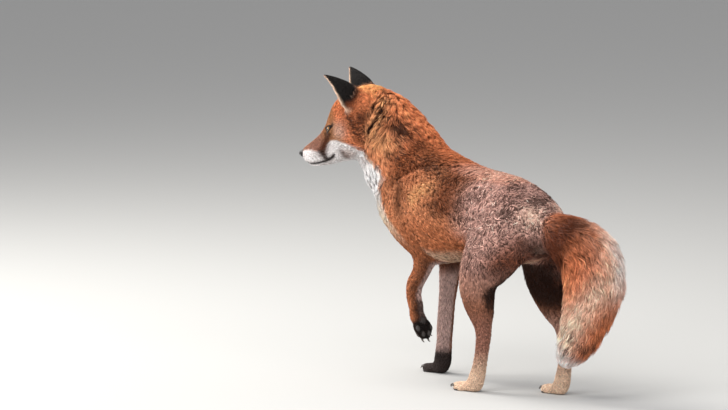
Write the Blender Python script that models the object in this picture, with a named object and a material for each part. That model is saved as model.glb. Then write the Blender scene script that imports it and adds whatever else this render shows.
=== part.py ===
"""A red fox at life size, walking, with its head turned to its left and one forefoot lifted.

The fox faces +X, its left side is +Y, and it stands on z = 0. Lengths in the tables are
centimetres from a point on the floor under the back of the rump, in a frame of their own;
the finished parts are moved together so that the middle of their footprint is the origin.
The outline is the outline of the coat, out to the tips of its hair.
"""

import math

import bmesh
import bpy
import numpy as np
from mathutils import Matrix, Vector

CM = 0.01
GAP = 0.0003
WELD = 0.00002
RING_POINTS = 28
SPAN_STEPS = 4
BALL_SUBDIVISIONS = 3
VOXEL = 0.0026
SMOOTHING_PASSES = 30
SMOOTHING_FACTOR = 0.5
BODY_TRIANGLES = 4200
DECIMATE_BIAS = 0.000003
PAW_SINK = 0.25

# How square a section is: 2 is an ellipse.
LIMB_ROUNDNESS = 2.0
HEAD_ROUNDNESS = 2.1
TRUNK_ROUNDNESS = 2.2

# The trunk from rump to breast: x, top of back, belly, half width, height of the widest point.
TRUNK = (
    (2.6, 29.0, 24.6, 2.4, 27.0),
    (3.8, 30.6, 22.9, 4.2, 27.0),
    (6.0, 32.0, 21.5, 5.5, 27.0),
    (9.0, 33.4, 20.7, 6.1, 27.0),
    (12.5, 34.4, 20.9, 6.4, 27.4),
    (16.0, 34.8, 20.9, 6.3, 27.8),
    (20.0, 35.0, 20.5, 6.7, 27.8),
    (24.0, 35.4, 19.8, 7.2, 27.4),
    (28.0, 36.2, 19.0, 7.5, 27.0),
    (32.0, 37.2, 18.6, 7.6, 27.0),
    (36.0, 37.6, 19.6, 7.3, 27.6),
    (39.5, 36.8, 21.6, 6.5, 28.4),
    (42.6, 35.2, 23.0, 5.2, 29.2),
    (45.0, 33.2, 26.0, 3.0, 29.6),
)

# The neck from inside the chest to the skull: centre, half width, depth to nape and to throat.
NECK = (
    ((33.0, 0.0, 30.0), 6.0, 5.2, 7.0),
    ((36.4, 0.3, 33.0), 6.2, 5.6, 9.8),
    ((39.6, 1.3, 36.0), 6.0, 6.1, 10.2),
    ((42.0, 2.5, 38.6), 5.7, 6.4, 8.8),
    ((43.8, 3.7, 40.4), 5.3, 6.3, 6.0),
    ((45.4, 4.8, 41.4), 4.3, 5.3, 4.4),
)

# The tail brush from the rump to its tip: centre and radius.
TAIL = (
    ((7.0, 0.0, 27.6), 2.4),
    ((4.0, -0.3, 27.2), 3.1),
    ((0.4, -1.3, 25.8), 4.3),
    ((-2.9, -2.6, 23.6), 5.25),
    ((-4.5, -3.3, 20.4), 5.3),
    ((-4.6, -3.1, 17.2), 4.8),
    ((-3.9, -2.4, 13.8), 4.1),
    ((-3.1, -1.6, 10.2), 3.3),
    ((-1.7, -0.6, 7.6), 2.3),
    ((-0.8, 0.1, 5.8), 1.1),
)

# Each leg from the trunk to the ankle: centre, half size fore and aft, half size sideways.
HIND_LEFT = (
    ((9.4, 3.0, 26.4), 4.6, 2.8),
    ((10.4, 4.0, 24.6), 5.7, 3.5),
    ((12.5, 4.9, 21.6), 5.1, 3.4),
    ((14.4, 5.3, 18.4), 3.9, 2.8),
    ((14.5, 5.3, 15.4), 3.4, 2.3),
    ((13.9, 5.1, 12.6), 2.7, 1.7),
    ((13.7, 4.9, 10.6), 1.75, 1.3),
    ((13.7, 4.8, 9.0), 1.5, 1.2),
    ((14.3, 4.7, 6.6), 1.25, 1.15),
    ((15.0, 4.6, 4.2), 1.25, 1.2),
    ((15.9, 4.6, 1.9), 1.4, 1.4),
    ((16.4, 4.6, 1.0), 1.2, 1.2),
)
HIND_RIGHT = (
    ((9.0, -3.0, 26.4), 4.6, 2.8),
    ((9.6, -4.0, 24.6), 5.7, 3.5),
    ((10.6, -4.9, 21.6), 5.1, 3.4),
    ((11.0, -5.3, 18.4), 4.3, 2.8),
    ((9.9, -5.3, 15.6), 3.4, 2.2),
    ((8.1, -5.1, 13.2), 2.5, 1.6),
    ((6.2, -4.9, 11.4), 1.7, 1.3),
    ((5.2, -4.8, 9.8), 1.5, 1.25),
    ((4.7, -4.7, 7.0), 1.25, 1.15),
    ((4.9, -4.6, 4.3), 1.25, 1.2),
    ((5.5, -4.6, 1.9), 1.4, 1.4),
    ((6.0, -4.6, 1.0), 1.2, 1.2),
)
FORE_LEFT = (
    ((36.4, 3.0, 31.6), 3.2, 2.4),
    ((35.6, 3.4, 28.0), 4.2, 3.2),
    ((33.4, 3.4, 24.2), 4.0, 3.0),
    ((32.2, 3.2, 21.2), 2.8, 2.1),
    ((32.6, 2.8, 18.8), 2.0, 1.6),
    ((33.7, 2.8, 16.8), 1.55, 1.4),
    ((34.9, 2.9, 15.2), 1.5, 1.4),
    ((35.0, 3.1, 13.6), 1.3, 1.3),
    ((34.3, 3.3, 12.2), 1.25, 1.35),
    ((33.5, 3.4, 11.2), 1.2, 1.3),
)
FORE_RIGHT = (
    ((36.4, -3.0, 30.6), 3.4, 2.4),
    ((36.2, -3.4, 26.6), 4.4, 3.2),
    ((35.0, -3.8, 22.6), 3.9, 2.9),
    ((34.4, -3.9, 19.0), 2.6, 2.1),
    ((34.8, -3.8, 15.4), 1.8, 1.6),
    ((35.3, -3.7, 11.4), 1.5, 1.4),
    ((35.6, -3.6, 7.8), 1.5, 1.4),
    ((35.7, -3.5, 5.2), 1.35, 1.35),
    ((36.1, -3.5, 2.0), 1.45, 1.5),
    ((36.5, -3.5, 1.0), 1.25, 1.3),
)

# Each foot: the point of its heel over the floor, its heading, its pitch and its length.
PAWS = {
    "paw_hind_left": ((16.3, 4.6, -PAW_SINK), 4.0, 0.0, 4.7),
    "paw_hind_right": ((5.9, -4.6, -PAW_SINK), -4.0, 0.0, 4.7),
    "paw_fore_right": ((36.5, -3.5, -PAW_SINK), -3.0, 0.0, 4.5),
    "paw_fore_left": ((32.5, 3.4, 10.9), 0.0, 118.0, 4.4),
}

# A foot in its own frame, as balls with a centre and three radii: the two pads from the heel,
# then the middle and the outer toe of one side from the tip of the foot.
PADS = (
    ((0.1, 0.0, 1.35), (1.7, 1.35, 1.3)),
    ((1.1, 0.0, 0.95), (1.6, 1.35, 0.95)),
)
TOES = (
    ((-1.25, 0.55, 0.85), (1.55, 0.62, 0.85)),
    ((-2.1, 1.2, 0.8), (1.45, 0.6, 0.8)),
)

# The head in its own frame: x to the nose, y left, z up, from a point inside the skull.
# Each row is x, top, underside, half width, height of the widest point.
HEAD = (
    (-6.6, 2.0, -2.4, 2.2, -0.4),
    (-5.4, 4.0, -3.8, 3.9, -0.6),
    (-3.8, 5.0, -4.6, 4.9, -0.9),
    (-2.2, 5.2, -4.9, 5.2, -1.3),
    (-0.6, 5.1, -5.1, 5.1, -1.5),
    (1.0, 5.1, -5.0, 4.6, -1.4),
    (2.6, 4.6, -4.9, 4.0, -1.1),
    (4.0, 3.45, -4.6, 3.15, -0.9),
    (5.4, 2.2, -4.2, 2.3, -1.1),
    (7.0, 1.35, -3.9, 1.8, -1.2),
    (8.6, 0.95, -3.4, 1.55, -1.2),
    (10.0, 0.7, -3.0, 1.35, -1.1),
    (10.7, 0.5, -2.3, 1.05, -0.95),
    (11.15, 0.15, -1.7, 0.65, -0.75),
)
HEAD_SCALE = 1.05
HEAD_PLACE = (46.2, 5.4, 40.4)
HEAD_YAW = 32.0
HEAD_PITCH = 27.0

# Outlines in the head's middle plane, x and z: the head before the neck, and the jaw under
# the line of the lips.
HEAD_SHARE = ((14.0, 10.0), (-9.0, 10.0), (-5.4, 3.8), (0.4, -5.3), (3.0, -6.4), (14.0, -6.4))
JAW_SHARE = (
    (12.6, -1.5),
    (10.4, -1.75),
    (8.0, -2.05),
    (6.0, -2.35),
    (4.6, -2.9),
    (3.0, -4.0),
    (2.2, -6.0),
    (12.6, -6.0),
)
SHARE_HALF_WIDTH = 9.0

EYE_PLACE = (4.1, 1.95, 1.1)
EYE_RADIUS = 0.85
NOSE_PLACE = (11.05, 0.0, -0.2)
NOSE_RADII = (0.52, 0.64, 0.54)

# The ears in the head's frame: root, tip and the way each opens. The left one is turned
# further forward. Their outline is a share of the height and the share of the width there.
EARS = {
    "ear_left": ((-0.5, 2.75, 2.4), (0.5, 5.2, 8.7), (1.0, 0.3, -0.25)),
    "ear_right": ((-0.6, -2.75, 2.5), (0.2, -4.7, 9.05), (1.0, -0.05, -0.2)),
}
EAR_OUTLINE = (
    (0.0, 0.78),
    (0.14, 0.95),
    (0.3, 1.0),
    (0.5, 0.86),
    (0.7, 0.6),
    (0.87, 0.32),
    (1.0, 0.1),
)
EAR_HALF_WIDTH = 1.95
EAR_DEPTH = 3.15
EAR_RIM = 0.15
EAR_ARC_AT_ROOT = 105.0
EAR_ARC_AT_TIP = 75.0
EAR_THICKNESS = 0.4
EAR_COLUMNS = 10

# Where thin cuts part the solids: a point, the way into the part, and the cutter's half width.
NECK_CUT = ((39.6, 1.2, 34.6), (0.62, 0.3, 0.5), 16.0)
TAIL_CUT = ((2.4, -0.4, 26.6), (-1.0, -0.15, 0.1), 28.0)
TIP_CUT = ((-3.1, -1.6, 9.6), (0.35, 0.26, -0.9), 6.2)

# Each leg's share of the body: height, back, front, and how near the middle it comes.
HIND_LEFT_CUT = (
    (-2.0, 11.0, 23.5, 0.015),
    (12.0, 11.0, 19.5, 0.015),
    (16.0, 9.0, 19.5, 0.015),
    (20.0, 5.2, 18.6, 0.015),
    (22.0, 5.0, 18.2, 1.2),
    (25.0, 5.0, 17.4, 2.6),
    (27.4, 5.8, 16.2, 3.4),
    (29.2, 7.6, 14.2, 4.0),
)
HIND_RIGHT_CUT = (
    (-2.0, 2.6, 13.5, 0.015),
    (12.0, 2.6, 11.5, 0.015),
    (16.0, 4.0, 17.0, 0.015),
    (20.0, 4.6, 17.6, 0.015),
    (22.0, 4.6, 17.6, 1.2),
    (25.0, 4.8, 17.0, 2.6),
    (27.4, 5.8, 15.8, 3.4),
    (29.2, 7.6, 14.0, 4.0),
)
FORE_LEFT_CUT = (
    (4.0, 27.5, 40.0, 0.015),
    (17.6, 27.5, 40.0, 0.015),
    (20.0, 28.6, 39.4, 1.4),
    (23.0, 29.6, 39.6, 2.8),
    (27.0, 31.0, 40.4, 3.8),
    (30.0, 32.4, 40.6, 4.4),
    (32.4, 34.6, 39.6, 4.8),
)
FORE_RIGHT_CUT = (
    (-2.0, 30.0, 43.5, 0.015),
    (17.6, 30.0, 40.0, 0.015),
    (20.0, 30.0, 39.6, 1.4),
    (23.0, 30.4, 39.8, 2.8),
    (27.0, 31.4, 40.4, 3.8),
    (30.0, 32.6, 40.6, 4.4),
    (32.4, 34.6, 39.6, 4.8),
)
FLOOR_MIDDLE, FLOOR_HALF_WIDTH = (22.0, 0.0, 0.0), 60.0
ANKLE, ANKLE_HALF_WIDTH = 2.7, 8.0
WRIST_CUT = ((34.3, 3.4, 11.8), (-0.62, 0.0, -0.78), 4.0)
REACH = 30.0
LATERAL, UP, DOWN = Vector((0.0, 1.0, 0.0)), Vector((0.0, 0.0, 1.0)), Vector((0.0, 0.0, -1.0))

# Where the smoothing holds back, to keep the form: the face ahead of a plane of the head, the
# legs under a height and ahead of the tail, and the feet. Each has its start, its blend and
# its hold.
FACE_FRONT, FACE_BLEND, FACE_HOLD, SKULL_REACH = -1.0, 4.0, 0.8, 14.0
LEG_TOP, LEG_BLEND, LEG_HOLD, TAIL_FRONT = 21.0, 5.0, 0.75, 3.0
FOOT_REACH, FOOT_BLEND, FOOT_HOLD = 7.0, 3.0, 0.9
FINE_HOLD = 0.3

# Each material's colour and roughness.
MATERIALS = {
    "coat_red": ((0.40, 0.125, 0.035, 1.0), 0.8),
    "coat_brown": ((0.16, 0.075, 0.04, 1.0), 0.8),
    "coat_dark": ((0.02, 0.015, 0.012, 1.0), 0.75),
    "coat_pale": ((0.70, 0.66, 0.62, 1.0), 0.8),
    "eye_amber": ((0.35, 0.16, 0.03, 1.0), 0.1),
    "nose_leather": ((0.008, 0.007, 0.007, 1.0), 0.45),
}

# What each part is made of.
LOOKS = {
    "trunk": "coat_brown",
    "neck": "coat_red",
    "head": "coat_red",
    "lower_jaw": "coat_pale",
    "nose": "nose_leather",
    "eye_left": "eye_amber",
    "eye_right": "eye_amber",
    "ear_left": "coat_dark",
    "ear_right": "coat_dark",
    "leg_fore_left": "coat_red",
    "leg_fore_right": "coat_red",
    "leg_hind_left": "coat_red",
    "leg_hind_right": "coat_red",
    "paw_fore_left": "coat_dark",
    "paw_fore_right": "coat_dark",
    "paw_hind_left": "coat_dark",
    "paw_hind_right": "coat_dark",
    "tail": "coat_red",
    "tail_tip": "coat_pale",
}


def clear_scene():
    for obj in list(bpy.data.objects):
        bpy.data.objects.remove(obj)


def material(name, colour, roughness):
    """A Principled material of one colour."""
    made = bpy.data.materials.new(name)
    made.use_nodes = True
    shader = made.node_tree.nodes["Principled BSDF"]
    shader.inputs["Base Color"].default_value = colour
    shader.inputs["Roughness"].default_value = roughness
    shader.inputs["Metallic"].default_value = 0.0
    return made


def turned(place, heading, pitch):
    """A frame in centimetres at a place, turned about z and then nodded about y."""
    turn = Matrix.Rotation(math.radians(heading), 4, "Z")
    nod = Matrix.Rotation(math.radians(pitch), 4, "Y")
    return Matrix.Translation(Vector(place) * CM) @ turn @ nod @ Matrix.Scale(CM, 4)


def head_matrix():
    """The head's own frame, in metres, placed on the neck."""
    return turned(HEAD_PLACE, HEAD_YAW, HEAD_PITCH) @ Matrix.Scale(HEAD_SCALE, 4)


def flat_rows(rows):
    """Rows whose centres and sizes are nested, as one table of numbers."""
    return np.array([np.hstack([np.ravel(value) for value in row]) for row in rows], float)


def smooth_rows(table):
    """The table with steps between its rows, along Catmull-Rom curves through them."""
    ends = np.vstack([2 * table[0] - table[1], table, 2 * table[-1] - table[-2]])
    rows = []
    for i in range(1, len(ends) - 2):
        before, start, end, after = ends[i - 1 : i + 3]
        for t in np.arange(SPAN_STEPS) / SPAN_STEPS:
            rows.append(
                start
                + 0.5 * t * (end - before)
                + t * t * (before - 2.5 * start + 2 * end - 0.5 * after)
                + t**3 * (1.5 * (start - end) + 0.5 * (after - before))
            )
    return np.array([*rows, ends[-2]])


def ring(centre, side, up, half_side, above, below, roundness):
    """Points of a closed section: a superellipse whose upper and lower halves differ in depth."""
    points = []
    for turn in np.arange(RING_POINTS) / RING_POINTS * math.tau:
        across, rise = math.cos(turn), math.sin(turn)
        across = math.copysign(abs(across) ** (2 / roundness), across)
        rise = math.copysign(abs(rise) ** (2 / roundness), rise)
        depth = above if rise > 0 else below
        points.append(centre + side * (half_side * across) + up * (depth * rise))
    return points


def skin_rings(rings):
    """A closed mesh through the rings, with a flat cap at each end."""
    shape = bmesh.new()
    loops = [[shape.verts.new(point) for point in points] for points in rings]
    for first, second in zip(loops, loops[1:]):
        for i in range(RING_POINTS):
            j = (i + 1) % RING_POINTS
            shape.faces.new((first[i], first[j], second[j], second[i]))
    shape.faces.new(loops[0])
    shape.faces.new(loops[-1])
    bmesh.ops.recalc_face_normals(shape, faces=shape.faces)
    mesh = bpy.data.meshes.new("lofted")
    shape.to_mesh(mesh)
    shape.free()
    return mesh


def upright_loft(rows, matrix, roundness):
    """A loft of sections that stand across the x axis, from rows of heights and half widths."""
    rings = []
    for x, top, bottom, half_width, widest in smooth_rows(flat_rows(rows)):
        centre = Vector((x, 0.0, widest))
        above, below = top - widest, widest - bottom
        rings.append(ring(centre, LATERAL, UP, half_width, above, below, roundness))
    mesh = skin_rings(rings)
    mesh.transform(matrix)
    return mesh


def path_loft(rows):
    """A loft whose sections stand across its own path, their sides along the y axis."""
    table = smooth_rows(flat_rows(rows))
    directions = np.gradient(table[:, :3], axis=0)
    rings = []
    for row, direction in zip(table, directions):
        along = Vector(direction).normalized()
        side = (LATERAL - along * LATERAL.dot(along)).normalized()
        up = along.cross(side)
        sizes = row[3:]
        if len(sizes) == 1:
            half_side, above, below = sizes[0], sizes[0], sizes[0]
        elif len(sizes) == 2:
            half_side, above, below = sizes[1], sizes[0], sizes[0]
        else:
            half_side, above, below = sizes
        centre = Vector(row[:3])
        rings.append(ring(centre, side, up, half_side, above, below, LIMB_ROUNDNESS))
    mesh = skin_rings(rings)
    mesh.transform(Matrix.Scale(CM, 4))
    return mesh


def ball(centre, radii, matrix, grow=0.0):
    """An ellipsoid in the frame that the matrix gives, larger by grow in that frame's units."""
    shape = bmesh.new()
    bmesh.ops.create_icosphere(shape, subdivisions=BALL_SUBDIVISIONS, radius=1.0)
    sizes = Matrix.Diagonal((*(radius + grow for radius in radii), 1.0))
    shape.transform(matrix @ Matrix.Translation(Vector(centre)) @ sizes)
    mesh = bpy.data.meshes.new("ball")
    shape.to_mesh(mesh)
    shape.free()
    return mesh


def paw_meshes(matrix, length):
    """The pads and four toes of a foot, the middle toes ahead of the outer ones."""
    meshes = [ball(centre, radii, matrix) for centre, radii in PADS]
    for side in (-1, 1):
        for (x, y, z), radii in TOES:
            meshes.append(ball((length + x, side * y, z), radii, matrix))
    return meshes


def linked(mesh, name):
    """An object that holds the mesh, in the scene."""
    obj = bpy.data.objects.new(name, mesh)
    bpy.context.scene.collection.objects.link(obj)
    return obj


def joined(meshes, name):
    """One object that holds several closed shapes, not yet fused."""
    shape = bmesh.new()
    for mesh in meshes:
        shape.from_mesh(mesh)
    mesh = bpy.data.meshes.new(name)
    shape.to_mesh(mesh)
    shape.free()
    return linked(mesh, name)


def applied(obj):
    """The object's mesh with its modifiers in it. The object is removed."""
    bpy.context.view_layer.update()
    graph = bpy.context.evaluated_depsgraph_get()
    mesh = bpy.data.meshes.new_from_object(obj.evaluated_get(graph))
    bpy.data.objects.remove(obj)
    return mesh


def largest(mesh):
    """The mesh without the crumbs and folded facets that a cut can leave on its largest shape."""
    shape = bmesh.new()
    shape.from_mesh(mesh)
    bmesh.ops.remove_doubles(shape, verts=shape.verts, dist=WELD)
    bmesh.ops.dissolve_degenerate(shape, edges=shape.edges, dist=WELD)
    bmesh.ops.triangulate(shape, faces=shape.faces)
    same_corners = {}
    for face in shape.faces:
        same_corners.setdefault(frozenset(face.verts), []).append(face)
    folded = [face for faces in same_corners.values() if len(faces) > 1 for face in faces]
    bmesh.ops.delete(shape, geom=folded, context="FACES")
    left = set(shape.verts)
    groups = []
    while left:
        group = {left.pop()}
        front = list(group)
        while front:
            edges = front.pop().link_edges
            near = {vert for edge in edges for vert in edge.verts} - group
            group |= near
            front += near
        left -= group
        groups.append(group)
    groups.sort(key=len)
    crumbs = [vert for group in groups[:-1] for vert in group]
    bmesh.ops.delete(shape, geom=crumbs, context="VERTS")
    shape.to_mesh(mesh)
    shape.free()
    return mesh


def boolean(mesh, cutter, operation):
    """The mesh cut by the cutter, which stays as it was."""
    obj = linked(mesh, "cut")
    tool = linked(cutter, "cutter")
    tool.hide_render = True
    tool.display_type = "WIRE"
    cut = obj.modifiers.new("cut", "BOOLEAN")
    cut.operation = operation
    cut.solver = "EXACT"
    cut.object = tool
    result = largest(applied(obj))
    bpy.data.objects.remove(tool)
    return result


def parted(mesh, cutter, grown):
    """The share of the mesh inside the cutter, and what is left outside the grown cutter."""
    return boolean(mesh, cutter, "INTERSECT"), boolean(mesh, grown, "DIFFERENCE")


def block(point, direction, half_width, matrix, grow=0.0):
    """A box whose end face is at the point and which reaches from there in the direction."""
    shape = bmesh.new()
    bmesh.ops.create_cube(shape, size=2.0)
    aim = Vector(direction).normalized()
    rotation = aim.to_track_quat("Z", "Y").to_matrix().to_4x4()
    sizes = Matrix.Diagonal((half_width, half_width, REACH + grow, 1.0))
    centre = Vector(point) + aim * REACH
    shape.transform(matrix @ Matrix.Translation(centre) @ rotation @ sizes)
    mesh = bpy.data.meshes.new("block")
    shape.to_mesh(mesh)
    shape.free()
    return mesh


def leg_cutter(rows, side, grow=0.0):
    """A stack of rectangles that takes a leg's share of one side of the body."""
    shape = bmesh.new()
    loops = []
    for i, (height, back, front, inner) in enumerate(rows):
        level = height + (grow if i else -grow)
        corners = (
            (back - grow, inner - grow),
            (front + grow, inner - grow),
            (front + grow, REACH),
            (back - grow, REACH),
        )
        loops.append([shape.verts.new((x * CM, side * y * CM, level * CM)) for x, y in corners])
    for first, second in zip(loops, loops[1:]):
        for i in range(4):
            j = (i + 1) % 4
            shape.faces.new((first[i], first[j], second[j], second[i]))
    shape.faces.new(loops[0])
    shape.faces.new(loops[-1])
    bmesh.ops.triangulate(shape, faces=shape.faces)
    bmesh.ops.recalc_face_normals(shape, faces=shape.faces)
    mesh = bpy.data.meshes.new("leg_cutter")
    shape.to_mesh(mesh)
    shape.free()
    return mesh


def profile_cutter(outline, frame, grow=0.0):
    """A prism across the y axis of the frame, its outline moved out by grow."""
    corners = [Vector(corner) for corner in outline]
    moved = []
    for i, corner in enumerate(corners):
        before = (corner - corners[i - 1]).normalized()
        after = (corners[(i + 1) % len(corners)] - corner).normalized()
        first, second = Vector((-before.y, before.x)), Vector((-after.y, after.x))
        moved.append(corner - (first + second) * (grow / (1 + first.dot(second))))
    shape = bmesh.new()
    loops = []
    for half_width in (-SHARE_HALF_WIDTH, SHARE_HALF_WIDTH):
        loops.append([shape.verts.new((x, half_width, z)) for x, z in moved])
    near, far = loops
    for i in range(len(moved)):
        j = (i + 1) % len(moved)
        shape.faces.new((near[i], near[j], far[j], far[i]))
    shape.faces.new(near)
    shape.faces.new(far)
    bmesh.ops.recalc_face_normals(shape, faces=shape.faces)
    shape.transform(frame)
    mesh = bpy.data.meshes.new("profile_cutter")
    shape.to_mesh(mesh)
    shape.free()
    return mesh


def ear_mesh(root, tip, opening):
    """A cupped ear: a sheet of arcs that narrow to the tip, given its thickness."""
    root = Vector(root)
    rise = Vector(tip) - root
    along = rise.normalized()
    opening = Vector(opening)
    opening = (opening - along * opening.dot(along)).normalized()
    across = along.cross(opening)
    shape = bmesh.new()
    grid = []
    for height, width in EAR_OUTLINE:
        half_arc = EAR_ARC_AT_ROOT + (EAR_ARC_AT_TIP - EAR_ARC_AT_ROOT) * height
        row = []
        for j in range(EAR_COLUMNS + 1):
            turn = math.radians(half_arc) * (2 * j / EAR_COLUMNS - 1)
            sideways = across * (EAR_HALF_WIDTH * width * math.sin(turn))
            backward = opening * (-EAR_DEPTH * width * (math.cos(turn) - EAR_RIM))
            row.append(shape.verts.new(root + rise * height + sideways + backward))
        grid.append(row)
    for low, high in zip(grid, grid[1:]):
        for j in range(EAR_COLUMNS):
            shape.faces.new((low[j], low[j + 1], high[j + 1], high[j]))
    bmesh.ops.recalc_face_normals(shape, faces=shape.faces)
    shape.transform(head_matrix())
    mesh = bpy.data.meshes.new("ear")
    shape.to_mesh(mesh)
    shape.free()
    obj = linked(mesh, "ear")
    thicken = obj.modifiers.new("thickness", "SOLIDIFY")
    thicken.thickness = EAR_THICKNESS * CM
    thicken.offset = 0.0
    return applied(obj)


def clamped(value):
    return min(max(value, 0.0), 1.0)


def holds(point, to_head, feet):
    """How much a point of the body belongs to the face, to a leg and to a foot, from 0 to 1."""
    ahead = to_head @ point
    face = clamped((ahead.x - FACE_FRONT) / FACE_BLEND) if ahead.length < SKULL_REACH else 0.0
    leg = clamped((LEG_TOP - point.z / CM) / LEG_BLEND) if point.x > TAIL_FRONT * CM else 0.0
    nearest = min((point - foot).length for foot in feet) / CM
    foot = clamped((FOOT_REACH - nearest) / FOOT_BLEND)
    return face, leg, foot


def body_mesh():
    """Trunk, neck, head, tail, legs and feet fused into one surface."""
    meshes = [
        upright_loft(TRUNK, Matrix.Scale(CM, 4), TRUNK_ROUNDNESS),
        path_loft(NECK),
        upright_loft(HEAD, head_matrix(), HEAD_ROUNDNESS),
        path_loft(TAIL),
    ]
    for rows in (HIND_LEFT, HIND_RIGHT, FORE_LEFT, FORE_RIGHT):
        meshes.append(path_loft(rows))
    for heel, heading, pitch, length in PAWS.values():
        meshes += paw_meshes(turned(heel, heading, pitch), length)
    fused = joined(meshes, "body")
    remesh = fused.modifiers.new("fuse", "REMESH")
    remesh.mode = "VOXEL"
    remesh.voxel_size = VOXEL
    mesh = applied(fused)

    body = linked(mesh, "body")
    soft = body.vertex_groups.new(name="soft")
    coarse = body.vertex_groups.new(name="coarse")
    to_head = head_matrix().inverted()
    feet = [turned(heel, 0, 0).to_translation() for heel, _, _, _ in PAWS.values()]
    for vertex in mesh.vertices:
        face, leg, foot = holds(vertex.co, to_head, feet)
        held = max(FACE_HOLD * face, LEG_HOLD * leg, FOOT_HOLD * foot)
        soft.add([vertex.index], 1.0 - held, "REPLACE")
        coarse.add([vertex.index], 1.0 - FINE_HOLD * max(face, foot), "REPLACE")
    smooth = body.modifiers.new("blend", "SMOOTH")
    smooth.factor = SMOOTHING_FACTOR
    smooth.iterations = SMOOTHING_PASSES
    smooth.vertex_group = "soft"
    facets = sum(len(face.vertices) - 2 for face in mesh.polygons)
    decimate = body.modifiers.new("facets", "DECIMATE")
    decimate.ratio = BODY_TRIANGLES / facets
    decimate.vertex_group = "coarse"
    decimate.vertex_group_factor = DECIMATE_BIAS
    mesh = applied(body)
    floor = block(FLOOR_MIDDLE, DOWN, FLOOR_HALF_WIDTH, Matrix.Scale(CM, 4))
    return boolean(mesh, floor, "DIFFERENCE")


def grown(mesh, amount):
    """A copy of the mesh with its surface moved out along its normals."""
    obj = linked(mesh.copy(), "grown")
    swell = obj.modifiers.new("swell", "DISPLACE")
    swell.mid_level = 0.0
    swell.strength = amount
    return applied(obj)


def fox_meshes():
    """Every part's mesh, by name."""
    world = Matrix.Scale(CM, 4)
    skull = head_matrix()
    gap = GAP / CM
    parts = {}
    body = body_mesh()
    swollen = grown(body, GAP)
    for name, place in EARS.items():
        parts[name] = boolean(ear_mesh(*place), swollen, "DIFFERENCE")

    tail, body = parted(body, block(*TAIL_CUT, world), block(*TAIL_CUT, world, gap))
    tip, tail = parted(tail, block(*TIP_CUT, world), block(*TIP_CUT, world, gap))
    parts["tail"], parts["tail_tip"] = tail, tip
    head, body = parted(
        body, profile_cutter(HEAD_SHARE, skull), profile_cutter(HEAD_SHARE, skull, gap)
    )
    neck, body = parted(body, block(*NECK_CUT, world), block(*NECK_CUT, world, gap))
    parts["neck"] = neck

    legs = {
        "leg_hind_left": (HIND_LEFT_CUT, 1),
        "leg_hind_right": (HIND_RIGHT_CUT, -1),
        "leg_fore_left": (FORE_LEFT_CUT, 1),
        "leg_fore_right": (FORE_RIGHT_CUT, -1),
    }
    for name, (rows, side) in legs.items():
        leg, body = parted(body, leg_cutter(rows, side), leg_cutter(rows, side, gap))
        cut = WRIST_CUT
        if name != "leg_fore_left":
            heel = PAWS[name.replace("leg", "paw")][0]
            cut = ((heel[0], heel[1], ANKLE), DOWN, ANKLE_HALF_WIDTH)
        foot, leg = parted(leg, block(*cut, world), block(*cut, world, gap))
        parts[name] = leg
        parts[name.replace("leg", "paw")] = foot
    parts["trunk"] = body

    jaw, head = parted(
        head, profile_cutter(JAW_SHARE, skull), profile_cutter(JAW_SHARE, skull, gap)
    )
    parts["lower_jaw"] = jaw
    x, y, z = EYE_PLACE
    eye = (EYE_RADIUS,) * 3
    for name, side in (("eye_left", 1), ("eye_right", -1)):
        parts[name] = ball((x, side * y, z), eye, skull)
        head = boolean(head, ball((x, side * y, z), eye, skull, gap), "DIFFERENCE")
    parts["nose"] = ball(NOSE_PLACE, NOSE_RADII, skull)
    head = boolean(head, ball(NOSE_PLACE, NOSE_RADII, skull, gap), "DIFFERENCE")
    parts["head"] = head
    return parts


clear_scene()
materials = {name: material(name, *look) for name, look in MATERIALS.items()}
meshes = fox_meshes()
points = np.array([vertex.co for mesh in meshes.values() for vertex in mesh.vertices])
low, high = points.min(axis=0), points.max(axis=0)
middle = Vector(((low[0] + high[0]) / 2, (low[1] + high[1]) / 2, low[2]))
for name, look in LOOKS.items():
    mesh = meshes[name]
    mesh.transform(Matrix.Translation(-middle))
    mesh.materials.clear()
    mesh.materials.append(materials[look])
    mesh.shade_smooth()
    linked(mesh, name)
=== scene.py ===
"""The red fox's looks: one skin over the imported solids, a coat of mesh tufts that follows its lie,
and the eyes, lids, nose, lips, whiskers, claws and pads, on a plain floor in soft light."""

import itertools
import math

import bmesh
import bpy
import numpy as np
from mathutils import Matrix, Vector
from mathutils.bvhtree import BVHTree
from mathutils.kdtree import KDTree


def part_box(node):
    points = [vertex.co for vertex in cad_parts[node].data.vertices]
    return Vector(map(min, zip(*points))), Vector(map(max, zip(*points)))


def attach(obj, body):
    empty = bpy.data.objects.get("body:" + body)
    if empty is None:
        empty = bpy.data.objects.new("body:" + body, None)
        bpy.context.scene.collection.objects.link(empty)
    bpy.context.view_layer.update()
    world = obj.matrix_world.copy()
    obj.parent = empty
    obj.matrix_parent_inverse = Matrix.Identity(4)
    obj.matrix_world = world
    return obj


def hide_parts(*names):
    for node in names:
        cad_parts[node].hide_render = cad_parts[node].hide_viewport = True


CM = 0.01
MM = 0.001

# ---- places taken from the frame

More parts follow.
